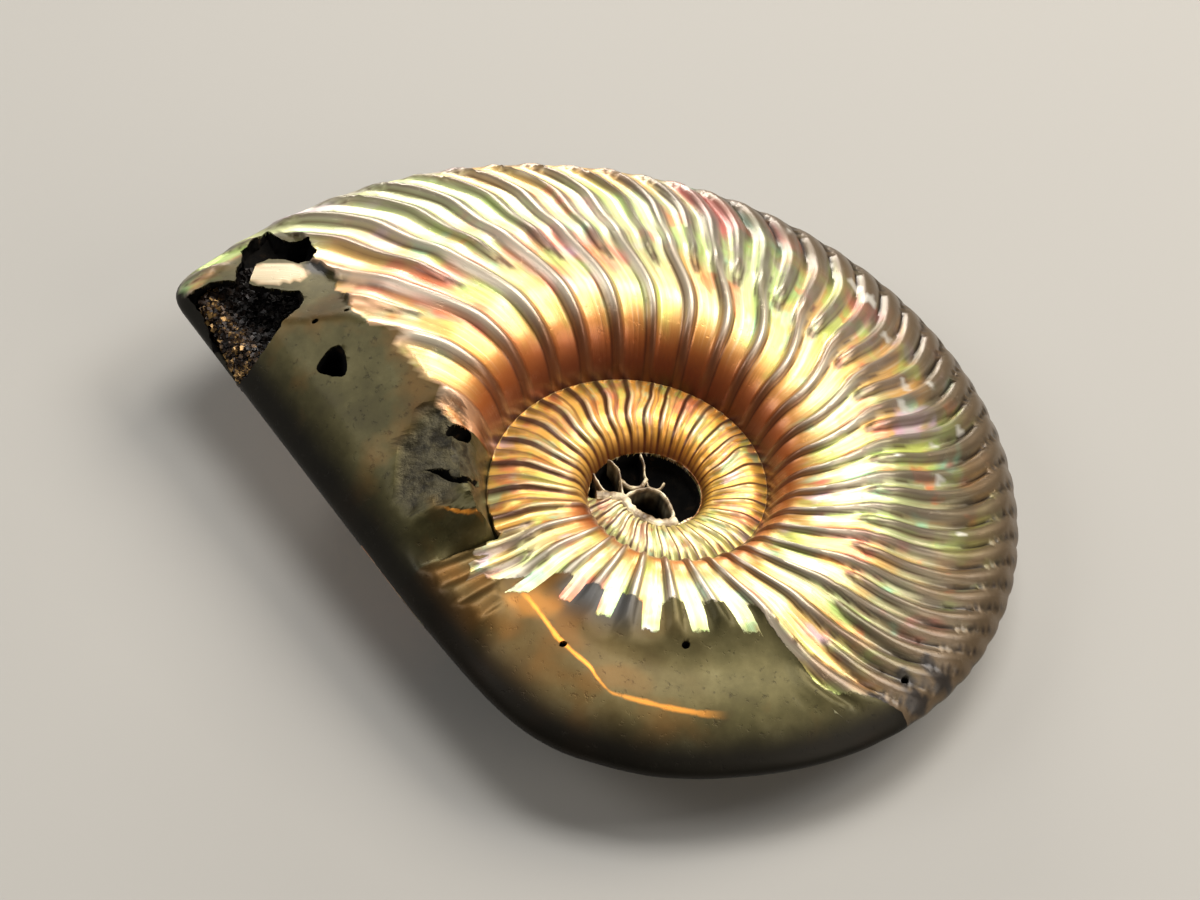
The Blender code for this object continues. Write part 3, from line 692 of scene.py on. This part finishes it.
def shell_material(marks):
    """Pearly nacre with soft bands of colour that follow its growth, over pyrite. Where the skin is ground away the
    polished pyrite is a duller brass, turned olive and brown."""
    material, tree, place = new_tree("nacre_over_pyrite")
    given = {}
    for name in marks:
        mark = add(tree, "Attribute", attribute_name=name).node
        given[name] = mark.outputs["Vector" if name == "growth" else "Fac"]

    across = add(tree, "ValToRGB", [given["hue"]], (
        (0.29, "#3c1807"), (0.31, "#6b3110"), (0.335, "#a65a24"), (0.365, "#cb8843"), (0.41, "#d9b56c"),
        (0.48, "#d6d092"), (0.6, "#bcc688"), (0.7, "#a3a274"), (0.8, "#7c7050"), (0.9, "#584a32"),
        (1, "#4a3b27")))
    around = add(tree, "ValToRGB", [given["turn"]], (
        (0, "#efe2bb"), (0.3, "#efe296"), (0.45, "#f4e284"), (0.55, "#f2c050"), (0.78, "#eba238"),
        (1, "#ebb858")))
    nacre = add(tree, "Mix", (given["inner"], across, around), data_type="RGBA")

    # Interference colours, a thickness of the pearl layers that drifts in streaks a few ribs long, and over them
    # growth lines, about a tenth of a millimetre apart, that run along the ribs
    washes = []
    for size, shift, low, high, tint in (
            (0.45, (1.3, 9.1, 0), 0.48, 0.6, "#efa845"), (0.8, (7.3, 2.1, 0), 0.5, 0.62, "#b9df6c"),
            (0.9, (3.9, 5.7, 0), 0.56, 0.66, "#93dcb4"), (0.55, (0, 0, 0), 0.56, 0.64, "#ea5560"),
            (0.7, (4.4, 1.2, 0), 0.6, 0.7, "#dcbfe2"), (1.1, (2.2, 3.3, 0), 0.58, 0.66, "#e8713a")):
        moved = add(tree, "VectorMath", (given["growth"], shift), operation="ADD")
        drift = add(tree, "TexNoise", (moved, size, 3, 0.6))
        washes.append((drift, low, high, 0.62, tint, "SMOOTHSTEP"))
    fine = add(tree, "VectorMath", (given["growth"], (7, 0.5, 1)), operation="MULTIPLY")
    striae = add(tree, "TexNoise", (fine, 1, 4, 0.6))
    washes += [(striae, 0.5, 0.7, 0.55, "#8a6238", "LINEAR"), (striae, 0.48, 0.32, 0.4, "#fff1cf", "LINEAR")]
    for value, low, high, share, tint, change in washes:
        amount = add(tree, "MapRange", (value, low, high, 0, share), interpolation_type=change)
        amount = add(tree, "Math", (amount, given["bright"]), operation="MULTIPLY")
        nacre = add(tree, "Mix", (amount, nacre, srgb(tint)), data_type="RGBA")

    # Wear takes the pearl off the crests. Painted shade darkens the foot of each crest, the outer grooves and the
    # inner whorls' lines and seams; a painted highlight runs along each main crest
    worn = add(tree, "ValToRGB", [given["hue"]], (
        (0.29, "#54290f"), (0.35, "#744a2e"), (0.42, "#6c584c"), (0.7, "#5e4f43"), (1, "#4c3c2d")))
    for name, share, tint in (
            ("foot", 0.85, "#3f1c0a"), ("line", 0.95, "#48200a"), ("seam", 0.8, "#6a2f10"), ("crest", 0.88, None),
            ("band", 0.85, "#5b4932"), ("groove", 0.95, "#1d1108"), ("thin", 0.7, "#ecb78c"),
            ("crest_highlight", 0.45, "#f6ead0"), ("chip", 0.65, "#dcd8cc"), ("dark", 0.92, "#1d1712")):
        amount = add(tree, "Math", (given[name], share), operation="MULTIPLY")
        nacre = add(tree, "Mix", (amount, nacre, srgb(tint) if tint else worn), data_type="RGBA")

    # Polished pyrite: grains under a millimetre across, specks of black and rusty stains
    blotch, speck, stain, crumbs = (
        add(tree, "TexNoise", (place, scale, detail, rough))
        for scale, detail, rough in ((420, 6, 0.6), (2600, 4, 0.7), (230, 4, 0.5), (900, 5, 0.65)))
    # The crumbs' dents in the rough ground are painted dark as shade
    specks, stains, pits = (
        add(tree, "MapRange", (value, low, high, 0, share))
        for value, low, high, share in ((speck, 0.6, 0.7, 0.45), (stain, 0.52, 0.66, 0.35),
                                        (crumbs, 0.46, 0.62, 0.85)))
    pits = add(tree, "Math", (pits, given["rough"]), operation="MULTIPLY")
    pyrite = add(tree, "ValToRGB", [blotch], (
        (0.3, "#39331b"), (0.45, "#464024"), (0.58, "#544d2f"), (0.72, "#655e3f")))
    # Painted highlight: the ridge between two ground facets, and the top edge of the broken end's slope, are
    # painted bright orange, in a broken line a quarter of a millimetre wide
    away = add(tree, "Math", [given["ridge_away"]], operation="ABSOLUTE")
    away = add(tree, "Math", (blotch, 0.5, away), operation="MULTIPLY_ADD")
    ridge_glint = add(tree, "MapRange", (away, 0.44, 0.28), interpolation_type="SMOOTHSTEP")
    ridge_glint = add(tree, "Math", (ridge_glint, given["ridge_part"]), operation="MULTIPLY")
    # The steep sides low by the rim are painted nearly black as shade
    for amount, tint in (
            (specks, "#262013"), (stains, "#7d5220"), (given["warm"], "#6b4719"), (given["cool"], "#4e4c49"),
            (given["rough"], "#5a533e"), (pits, "#211c12"), (given["rusty"], "#c07c2c"), (given["side"], "#100d08"),
            (ridge_glint, "#f5a03c")):
        pyrite = add(tree, "Mix", (amount, pyrite, srgb(tint)), data_type="RGBA")

    # The skin is ground through on the crests first, so it ends in blunt fingers that lie in the valleys
    valley = add(tree, "MapRange", (given["rib_away"], 0.27, 0.33, 0, FINGER_LENGTH))
    past = add(tree, "Math", (given["past"], valley), operation="SUBTRACT")
    past = add(tree, "Math", (speck, -0.05, past), operation="MULTIPLY_ADD")
    finger = add(tree, "MapRange", (past, -0.021, -0.029))
    skin = add(tree, "Math", (finger, given["skin"]), operation="MULTIPLY")
    colour = add(tree, "Mix", (skin, pyrite, nacre), data_type="RGBA")
    colour = add(tree, "Mix", (given["flap"], colour, srgb("#b5a585")), data_type="RGBA")

    grey, metal, shine = (
        add(tree, "MapRange", (skin, 0, 1, on_pyrite, on_nacre))
        for on_pyrite, on_nacre in ((0.44, 0.33), (0.8, 0.55), (0.06, 0.35)))
    for value, share in ((given["rough"], 0.2), (blotch, 0.14)):
        grey = add(tree, "Math", (value, share, grey), operation="MULTIPLY_ADD")
    relief = add(tree, "Math", (striae, skin), operation="MULTIPLY")
    lumps = add(tree, "Math", (crumbs, given["rough"]), operation="MULTIPLY")
    for value, share in ((specks, -0.7), (lumps, -14)):
        relief = add(tree, "Math", (value, share, relief), operation="MULTIPLY_ADD")
    bump = add(tree, "Bump", {"Height": relief, "Strength": 0.45, "Distance": 0.07 * MM})
    return surfaced(material, {"Base Color": colour, "Roughness": grey, "Metallic": metal, "Coat Weight": shine,
                               "Coat Roughness": 0.25, "Normal": bump})


def shaded_hollow_material():
    """Near-black, rough inside of the broken chambers: painted shade, as hardly any light comes back out."""
    material, tree, place = new_tree("rough_pyrite_in_painted_shade")
    tone = add(tree, "TexNoise", (place, 1500, 4))
    colour = add(tree, "ValToRGB", [tone], ((0.42, "#040302"), (0.62, "#0b0805"), (0.75, "#2a1e12")))
    bump = add(tree, "Bump", {"Height": tone, "Strength": 0.6, "Distance": 0.2 * MM})
    return surfaced(material, {"Base Color": colour, "Roughness": 0.9, "Specular IOR Level": 0.1, "Normal": bump})


def septum_material():
    """Calcite septa, snapped off: a pale cream upper edge, with painted shade that darkens the walls below it
    nearly to black.
    """
    material, tree, place = new_tree("broken_calcite")
    edge = add(tree, "Attribute", attribute_name="edge").node.outputs["Fac"]
    tone = add(tree, "TexNoise", (place, 1400, 3))
    colour = add(tree, "ValToRGB", [tone], (
        (0.32, "#5d4a33"), (0.46, "#9a8668"), (0.58, "#d0c09c"), (0.72, "#efe5cb")))
    colour = add(tree, "Mix", (edge, srgb("#0b0806"), colour), data_type="RGBA")
    return surfaced(material, {"Base Color": colour, "Roughness": 0.45})


def crystal_material():
    """Small pyrite crystals, tarnished: brown-black cubes, with gold on the few whose metal is still clean."""
    material, tree, place = new_tree("pyrite_crystals")
    shade = add(tree, "Attribute", attribute_name="shade").node.outputs["Fac"]
    tone = add(tree, "TexNoise", (place, 3000, 3, 0.7))
    tone = add(tree, "Math", (shade, 0.55, tone), operation="MULTIPLY_ADD")
    # Away from the ground side, under the roof, the crystals are painted darker as shade
    inward = add(tree, "VectorMath", (place, (0.74, 0.67, 0)), operation="DOT_PRODUCT")
    roof_shade = add(tree, "MapRange", (inward, -14.3 * MM, -12.1 * MM, 0.04, 0.45))
    tone = add(tree, "Math", (tone, roof_shade), operation="SUBTRACT")
    colour = add(tree, "ValToRGB", [tone], (
        (0.58, "#0b0502"), (0.8, "#20130a"), (0.96, "#453016"), (1, "#947343")))
    return surfaced(material, {"Base Color": colour, "Metallic": 0.5, "Roughness": 0.42})


# ---- the shell

INSETS = (0.03, 0.08, 0.15, 0.25, 0.38, 0.54, 0.72, 0.92, 1.14, 1.38, 1.64)
SHOULDER_ROWS = (0.294, 0.298, 0.303, 0.309)
upper_lines = coil_lines(1 / 16, np.append(SHOULDER_ROWS, np.linspace(0.316, 0.985, 48)), 1 / 10,
                         np.append(SHOULDER_ROWS, np.linspace(0.318, 0.706, 19)), INSETS)
upper_lines += skin_edge_lines()
lower_lines = coil_lines(1 / 6, np.linspace(0.31, 0.96, 18), 1 / 4, np.linspace(0.31, 0.69, 8),
                         (0.08, 0.25, 0.54, 1))
shell = solid_between("ammonite_shell", upper_lines, lower_lines, upper_half_height,
                      lambda x, y: -lower_half_height(x, y), 2e-6)

chamber_plan = ringed_plan(CAVITY_CHAMBER, (0.93, 0.85, 0.75, 0.65, 0.55, 0.45, 0.35, 0.25, 0.12))
hollows = [
    rough_cutter("cavity_mouth", rounded(CAVITY_MOUTH, 1), ((-0.3, 0.92), (0.5, 1), OPEN_TOP), 0.13),
    rough_cutter("cavity_notch", CAVITY_NOTCH, ((0.3, 0.9), (1, 1), OPEN_TOP), 0.16),
    solid_between("cavity_chamber", chamber_plan, chamber_plan, chamber_roof, chamber_floor, 1e-6),
    rough_cutter("triangular_hole", rounded(TRIANGULAR_HOLE), ((1.3, 0.55), (2.2, 0.9), OPEN_TOP), 0.03),
    rough_cutter("wall_hole", rounded(WALL_HOLE), ((3.2, 0.5), (4, 0.9), (9, 1.05)), 0.05),
    rough_cutter("crevice", band_outline(CREVICE, CREVICE_WIDTH), ((2.9, 0.97), (9, 1)), 0.05, 0.12),
]
for x, y, radius in PINHOLES:
    mouth = float(upper_half_height(np.array([x]), np.array([y]))[0])
    levels = ((mouth - 0.6, 0.5), (mouth + 0.5, 1.2))
    hollows.append(rough_cutter("pinhole", pinhole_outline(x, y, radius), levels, 0.03))
hub_arc = np.arange(*HUB_SEAM, 6)
hub_pit = [*polar_line(1.005 * SEAM * keel_radius(hub_arc), hub_arc), *HUB_LIP]
levels = ((PIT_FLOOR, 0.62), (PIT_FLOOR + 0.5, 0.95), (0.6, 1), (3, 1))
hollows.append(rough_cutter("hub_pit", hub_pit, levels, 0.03))
# The bench takes off what lies below the flat on which the coil rests
bench_corners = [(x, y, z) for z in (-10, 0) for x, y in ((-40, -40), (40, -40), (40, 40), (-40, 40))]
bench_faces = [(3, 2, 1, 0), (4, 5, 6, 7), (0, 1, 5, 4), (1, 2, 6, 5), (2, 3, 7, 6), (3, 0, 4, 7)]
bench = mesh_object("bench", np.array(bench_corners, float), bench_faces, 2e-6)
bench.data.transform(COIL_TO_REST.inverted())
for cutter in (*hollows, bench):
    cut = shell.modifiers.new(cutter.name, "BOOLEAN")
    cut.operation = "DIFFERENCE"
    cut.object = cutter
    cut.solver = "MANIFOLD"
finished = applied(shell)
triangulate(finished)
for cutter in (*hollows, bench):
    bpy.data.objects.remove(cutter)


def ragged_spots(x, y, spots, size, seed, roughness):
    """From 0 outside some round spots to 1 at their middles, with noise added."""
    near = np.zeros_like(x)
    for spot_x, spot_y, reach in spots:
        near = np.maximum(near, 1 - np.hypot(x - spot_x, y - spot_y) / reach)
    return near + roughness * grain(x, y, size, seed)


def shell_marks(x, y, z):
    """What the shell's material reads at each point, by name. Most marks go from 0 to 1."""
    angle, u = whorl_at(x, y)
    phase, profile = rib_profile(u, angle)
    distance, _, last = edge_distance(x, y)
    radius = np.hypot(x, y)
    from_end = radius * np.radians(LAST_ANGLE - angle)
    above = z > UPPER_FROM
    upper = z > 0
    inner = (angle < FIRST_ANGLE).astype(float)
    early_part = (angle > FIRST_ANGLE) & (angle < EARLY_END) & above
    by_end = (angle > LAST_ANGLE - 15) & above

    # Where the pearly skin is left, and how far past its fingers' ends a point of the early part lies
    ground_zone = ((last < -12) | (last > 160)) & above
    ground_off = whorl_height(angle, u, 0) - upper_half_height(x, y)
    on_flap = away_from(x, y, FLAP) ** 2
    skin = np.where(ground_zone, 1 - ramp(ground_off, 0.04, 0.2), 1) * (1 - bare(x, y, angle, u) * above)
    skin = np.maximum(skin, (1 - ramp(on_flap, 0.8, 1.2)) * upper)
    skin = np.where(early_part, 1, skin)
    skin = skin * (1 - ramp(from_end + 0.3 * grain(x, y, 0.5, 23), 1.9, 1.5) * above)
    fingers = curve(angle, FINGER_ENDS)
    past = np.where(early_part, u - fingers + FINGER_LENGTH - 0.02, np.where(from_end < 2.2, 1, NOT_PAST))
    past = np.where(above, past, NOT_PAST)

    # Colour runs from the seam to the keel. The fresh part stays bright out to the keel, and the early part out to
    # the fingers' ends.
    fresh = ramp(angle, *FRESH_FROM) * upper
    hue = np.where(u > 0.5, u - (u - 0.5) * 0.7 * fresh, u)
    stretched = SEAM + (u - SEAM) * (0.6 - SEAM) / (fingers - SEAM)
    hue = np.where((angle > FIRST_ANGLE) & above, hue + (stretched - hue) * (1 - ramp(angle, -52, -30)), hue)

    # Ribs: outside the middle of the flank they look like dark grooves between bands
    split = ramp(hue, 0.72, 0.88) * (1 - fresh) * (1 - inner)
    uneven = profile + 0.2 * grain(1.3 * phase, 5 * u, 1, 24) + 0.08 * grain(4 * phase, 9 * u, 1, 25)
    crest_side = phase_gap(phase, 0.25) + 0.05 * grain(1.3 * phase, 5 * u, 1, 27)
    valley_side = phase_gap(phase, 0.72) + 0.07 * grain(1.3 * phase, 6 * u, 1, 29)
    rib_away = phase_gap(phase, CREST_PHASE)
    # Painted highlight along each main crest
    crest_highlight = ramp(rib_away + 0.06 * grain(2 * phase, 8 * u, 1, 28), 0.12, 0.03)

    # Stains and damage
    thin = ramp(-skin_edge(x, y), 2.6, 0.9) * ramp(angle, 152, 166) * ramp(u, 0.97, 0.9) * (1 - inner)
    thin = thin * ramp(grain(x, y, 0.9, 14) + 0.5 * grain(x, y, 0.3, 15), -0.45, 0.15)
    cool = ramp(past, 0.16, 0.04) * ramp(last, -116, -108) * ramp(last, -80, -92) * (past > -0.2)
    rusty = away_from(x, y, RUSTY_SPOT) + 0.3 * grain(x, y, 0.7, 26)
    # Where along the rim the early part's ridge carries its painted highlight
    glint_part = ramp(last, -121, -114) * ramp(last, -64, -74) * (1 - 0.45 * ramp(last, -96, -88))
    return {
        "skin": skin,
        "past": past,
        "hue": hue,
        "turn": ramp(angle / 360, -1.7, -0.38),
        "inner": inner,
        "bright": ramp(hue, 0.33, 0.42) * ramp(hue, 0.96, 0.74) * (1 - 0.25 * inner),
        "crest": ramp(uneven, 0.3, 0.62) * (1 - split) * (1 - 0.8 * inner),
        # Painted shade at the foot of each crest
        "foot": ramp(profile, 0.08, 0.2) * ramp(profile, 0.5, 0.34) * (1 - split) * (1 - inner),
        "band": ramp(uneven, 0.36, 0.72) * split,
        # Painted shade in the narrow grooves between the outer bands
        "groove": ramp(profile, 0.55, 0.12) * split * ramp(hue, 1, 0.985),
        # Painted shade: dark lines beside the inner whorls' crests
        "line": np.maximum(ramp(crest_side, 0.15, 0.05), 0.75 * ramp(valley_side, 0.13, 0.05)) * inner,
        "crest_highlight": crest_highlight * ramp(u, 0.34, 0.42) * ramp(hue, 0.64, 0.5),
        "rib_away": rib_away,
        # Painted shade by the inner whorls' seams
        "seam": ramp(u, 0.345, 0.295) * inner,
        # Painted shade, nearly black, on the steep sides low by the rim
        "side": 0.96 * (1 - ramp(np.abs(z) * 0.6 + distance, 0.9, 3.2)),
        "flap": (1 - ramp(on_flap, 0.8, 1.1)) * upper,
        "thin": thin,
        "rough": rough_ground(x, y) * above,
        "chip": ramp(ragged_spots(x, y, CHIPS, 0.22, 11, 0.5), 0.38, 0.54) * upper,
        "dark": ramp(ragged_spots(x, y, DARK_SPOTS, 0.45, 12, 0.45), 0.3, 0.5) * upper,
        "warm": ramp(last, -60, -112) * (last < 20) * (0.35 + 0.5 * ramp(grain(x, y, 1.6, 19), -0.1, 0.4)),
        "cool": np.maximum(cool, ramp(away_from(x, y, GREY_SPOT), 1, 0.7)) * above,
        "rusty": ramp(rusty, 1.1, 0.3) * above * 0.5,
        # Where the ridges' painted highlight lies: across each ridge, and along it
        "ridge_away": np.clip(np.where(by_end, 2 * (from_end - end_width(x, y)),
                                       distance - curve(last, GLINT_RIDGE)), -1, 1),
        "ridge_part": np.where(by_end, ramp(radius, 10, 10.5) * ramp(radius, 11.5, 11.2), glint_part) * upper,
        "growth": np.column_stack((phase, 5 * u, 0 * u)),
    }


x, y, z = coil_places(finished)
marks = shell_marks(x, y, z)
for name, values in marks.items():
    store(finished, name, values)
finished.polygons.foreach_set("use_smooth", [True] * len(finished.polygons))
finished.set_sharp_from_angle(angle=math.radians(55))
finished.materials.clear()
finished.materials.append(shell_material(marks))
finished.materials.append(shaded_hollow_material())
# Faces inside the hollows take the painted shade
in_hollow = (upper_half_height(x, y) - z > 0.06) & (z + lower_half_height(x, y) > 0.06)
corners = np.empty(len(finished.loops), np.int32)
finished.loops.foreach_get("vertex_index", corners)
dark_faces = in_hollow[corners.reshape(-1, 3)].sum(axis=1) > 1
finished.polygons.foreach_set("material_index", dark_faces.astype(np.int32))
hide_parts("ammonite")
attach(shell, "root")

# ---- septa in the hub


def septum(points, top, thickness):
    """Vertices and faces of a thin upright wall along a line, with an uneven, rounded upper edge."""
    x, y = np.array(points).T
    along = np.append(0, np.cumsum(np.hypot(np.diff(x), np.diff(y))))
    steps = np.linspace(0, along[-1], round(along[-1] / 0.06))
    x, y = curve(steps, list(zip(along, x))), curve(steps, list(zip(along, y)))
    heading = np.hypot(np.gradient(x), np.gradient(y))
    side_x, side_y = -np.gradient(y) / heading, np.gradient(x) / heading
    swell = thickness / 2 * (1 + 0.35 * grain(steps, x, 0.3, top))
    edge = top + 0.07 * grain(steps, y, 0.25, 2 * top)
    vertices = []
    for share, drop in ((-1, 9), (-1, 0.25), (-1, 0.07), (-0.5, 0), (0.5, 0), (1, 0.07), (1, 0.25), (1, 9)):
        level = np.maximum(edge - drop, PIT_FLOOR - 0.1)
        vertices.append(np.column_stack((x + share * swell * side_x, y + share * swell * side_y, level)))
    count, rows = len(x), len(vertices)
    faces = [(r * count + i, (r + 1) % rows * count + i, (r + 1) % rows * count + i + 1, r * count + i + 1)
             for r in range(rows) for i in range(count - 1)]
    faces += [tuple(r * count for r in reversed(range(rows))), tuple(r * count + count - 1 for r in range(rows))]
    return np.vstack(vertices), faces


wall_spots = np.empty((0, 3))
wall_faces = []
for top, thickness, points in SEPTA:
    vertices, faces = septum(points, top, thickness)
    wall_faces += [tuple(len(wall_spots) + i for i in face) for face in faces]
    wall_spots = np.vstack((wall_spots, vertices))
septa = mesh_object("hub_septa", wall_spots, wall_faces, 1e-8)
# Below their pale edge the septa take painted shade
store(septa.data, "edge", ramp(coil_places(septa.data)[2], 0.35, 0.55))
septa.data.materials.append(septum_material())
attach(septa, "root")

# ---- crystals in the hollow


def bed_top(x, y):
    """Crystals cover the floor and climb the wall behind the ground rim, but stay under the shell."""
    lumps = grain(x, y, 0.55, 8) + 0.6 * grain(x, y, 0.25, 9)
    distance, _, _ = edge_distance(x, y)
    bed = chamber_floor(x, y) + 0.05 + 0.25 * (1 + 0.7 * lumps) + 0.6 * ramp(distance, 2.6, 0.9)
    return np.maximum(np.minimum(bed, upper_half_height(x, y) - 1), CAVITY_FLOOR - 0.05)


def bed_bottom(x, y):
    return np.minimum(chamber_floor(x, y), bed_top(x, y)) - 0.08


def crystal_scatter(bed, material, sizes):
    """Sets tilted cubes, which is how pyrite grows, all over a bed."""
    tree = bpy.data.node_groups.new("crystals_on_a_bed", "GeometryNodeTree")
    for name, kind in (("Bed", "Geometry"), ("Density", "Float"), ("Smallest", "Float"),
                       ("Largest", "Float"), ("Seed", "Int")):
        tree.interface.new_socket(name, in_out="INPUT", socket_type="NodeSocket" + kind)
    tree.interface.new_socket("Crystals", in_out="OUTPUT", socket_type="NodeSocketGeometry")
    given = add(tree, "NodeGroupInput").node.outputs
    seed = given["Seed"]
    points = add(tree, "GeometryNodeDistributePointsOnFaces",
                 {"Mesh": given["Bed"], "Density": given["Density"], "Seed": seed})
    size = add(tree, "FunctionNodeRandomValue",
               {"Min": given["Smallest"], "Max": given["Largest"], "Seed": seed}, data_type="FLOAT")
    tilt = add(tree, "FunctionNodeRandomValue", {"Max": (6.28, 6.28, 6.28), "Seed": seed}, data_type="FLOAT_VECTOR")
    shade = add(tree, "FunctionNodeRandomValue", {"Seed": seed}, data_type="FLOAT")
    cubes = add(tree, "GeometryNodeInstanceOnPoints",
                {"Points": points, "Instance": add(tree, "GeometryNodeMeshCube"), "Rotation": tilt, "Scale": size})
    cubes = add(tree, "GeometryNodeStoreNamedAttribute", {"Geometry": cubes, "Name": "shade", "Value": shade},
                data_type="FLOAT", domain="INSTANCE")
    joined = add(tree, "GeometryNodeJoinGeometry", {"Geometry": cubes})
    tree.links.new(given["Bed"], joined.node.inputs["Geometry"])
    solid = add(tree, "GeometryNodeRealizeInstances", {"Geometry": joined})
    solid = add(tree, "GeometryNodeSetMaterial", {"Geometry": solid, "Material": material})
    add(tree, "NodeGroupOutput", {"Crystals": solid})
    grown = bed.modifiers.new("crystals", "NODES")
    grown.node_group = tree
    for item in tree.interface.items_tree:
        if item.in_out == "INPUT" and item.name in sizes:
            grown[item.identifier] = sizes[item.name]
    applied(bed)


bed_plan = ringed_plan(CRYSTAL_BED, np.arange(0.94, 0.05, -0.06))
crystals = solid_between("crystal_crust_grains", bed_plan, bed_plan, bed_top, bed_bottom, 1e-6)
crystal_scatter(crystals, crystal_material(),
                {"Density": 4.5e7, "Smallest": 0.08 * MM, "Largest": 0.27 * MM, "Seed": 7})
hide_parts("crystal_crust")
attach(crystals, "root")

# ---- floor, light and camera

floor_data = bpy.data.meshes.new("floor")
floor_data.from_pydata([(-1, -1, 0), (1, -1, 0), (1, 1, 0), (-1, 1, 0)], [], [(0, 1, 2, 3)])
floor_data.materials.append(surfaced(new_tree("pale_card")[0], {"Base Color": srgb("#98958f"), "Roughness": 0.8}))
floor = placed("floor", floor_data)

# Soft lights that look at the middle: place, size, power and colour
for name, place, size, power, colour in (
        ("low_window", (-0.12, 0.37, 0.09), (0.17, 0.07), 0.85, "#fffaf2"),
        ("key_light", (0.15, 0.215, 0.3), (0.24, 0.2), 1.25, "#fff6ea"),
        ("top_light", (-0.01, 0.11, 0.38), (0.2, 0.12), 1, "#ffffff"),
        ("east_card", (0.24, 0.09, 0.3), (0.12, 0.14), 0.5, "#ffffff"),
        ("south_east_fill", (0.3, -0.12, 0.18), (0.2, 0.16), 0.35, "#fff4e6"),
        ("side_light", (-0.3, -0.06, 0.24), (0.16, 0.16), 0.45, "#ffffff")):
    light = bpy.data.lights.new(name, "AREA")
    light.shape = "RECTANGLE"
    light.size, light.size_y = size
    light.energy = power
    light.color = srgb(colour)[:3]
    lamp = placed(name, light)
    lamp.location = place
    lamp.rotation_euler = (-Vector(place)).to_track_quat("-Z", "Y").to_euler()
    lamp.visible_camera = False
world = bpy.data.worlds.new("studio")
bpy.context.scene.world = world
world.use_nodes = True
sky = world.node_tree.nodes["Background"].inputs
sky["Color"].default_value = srgb("#9a9da0")
sky["Strength"].default_value = 0.35
bpy.context.scene.view_settings.view_transform = "Standard"

camera_data = bpy.data.cameras.new("camera")
camera_data.sensor_width = 36
camera_data.lens = 65.93
camera_data.clip_start = 0.005
camera = placed("camera", camera_data)
camera.location = (0.010249, -0.072896, 0.088703)
camera.rotation_euler = [math.radians(a) for a in (40.5349, -4.4025, 12.6181)]
bpy.context.scene.camera = camera
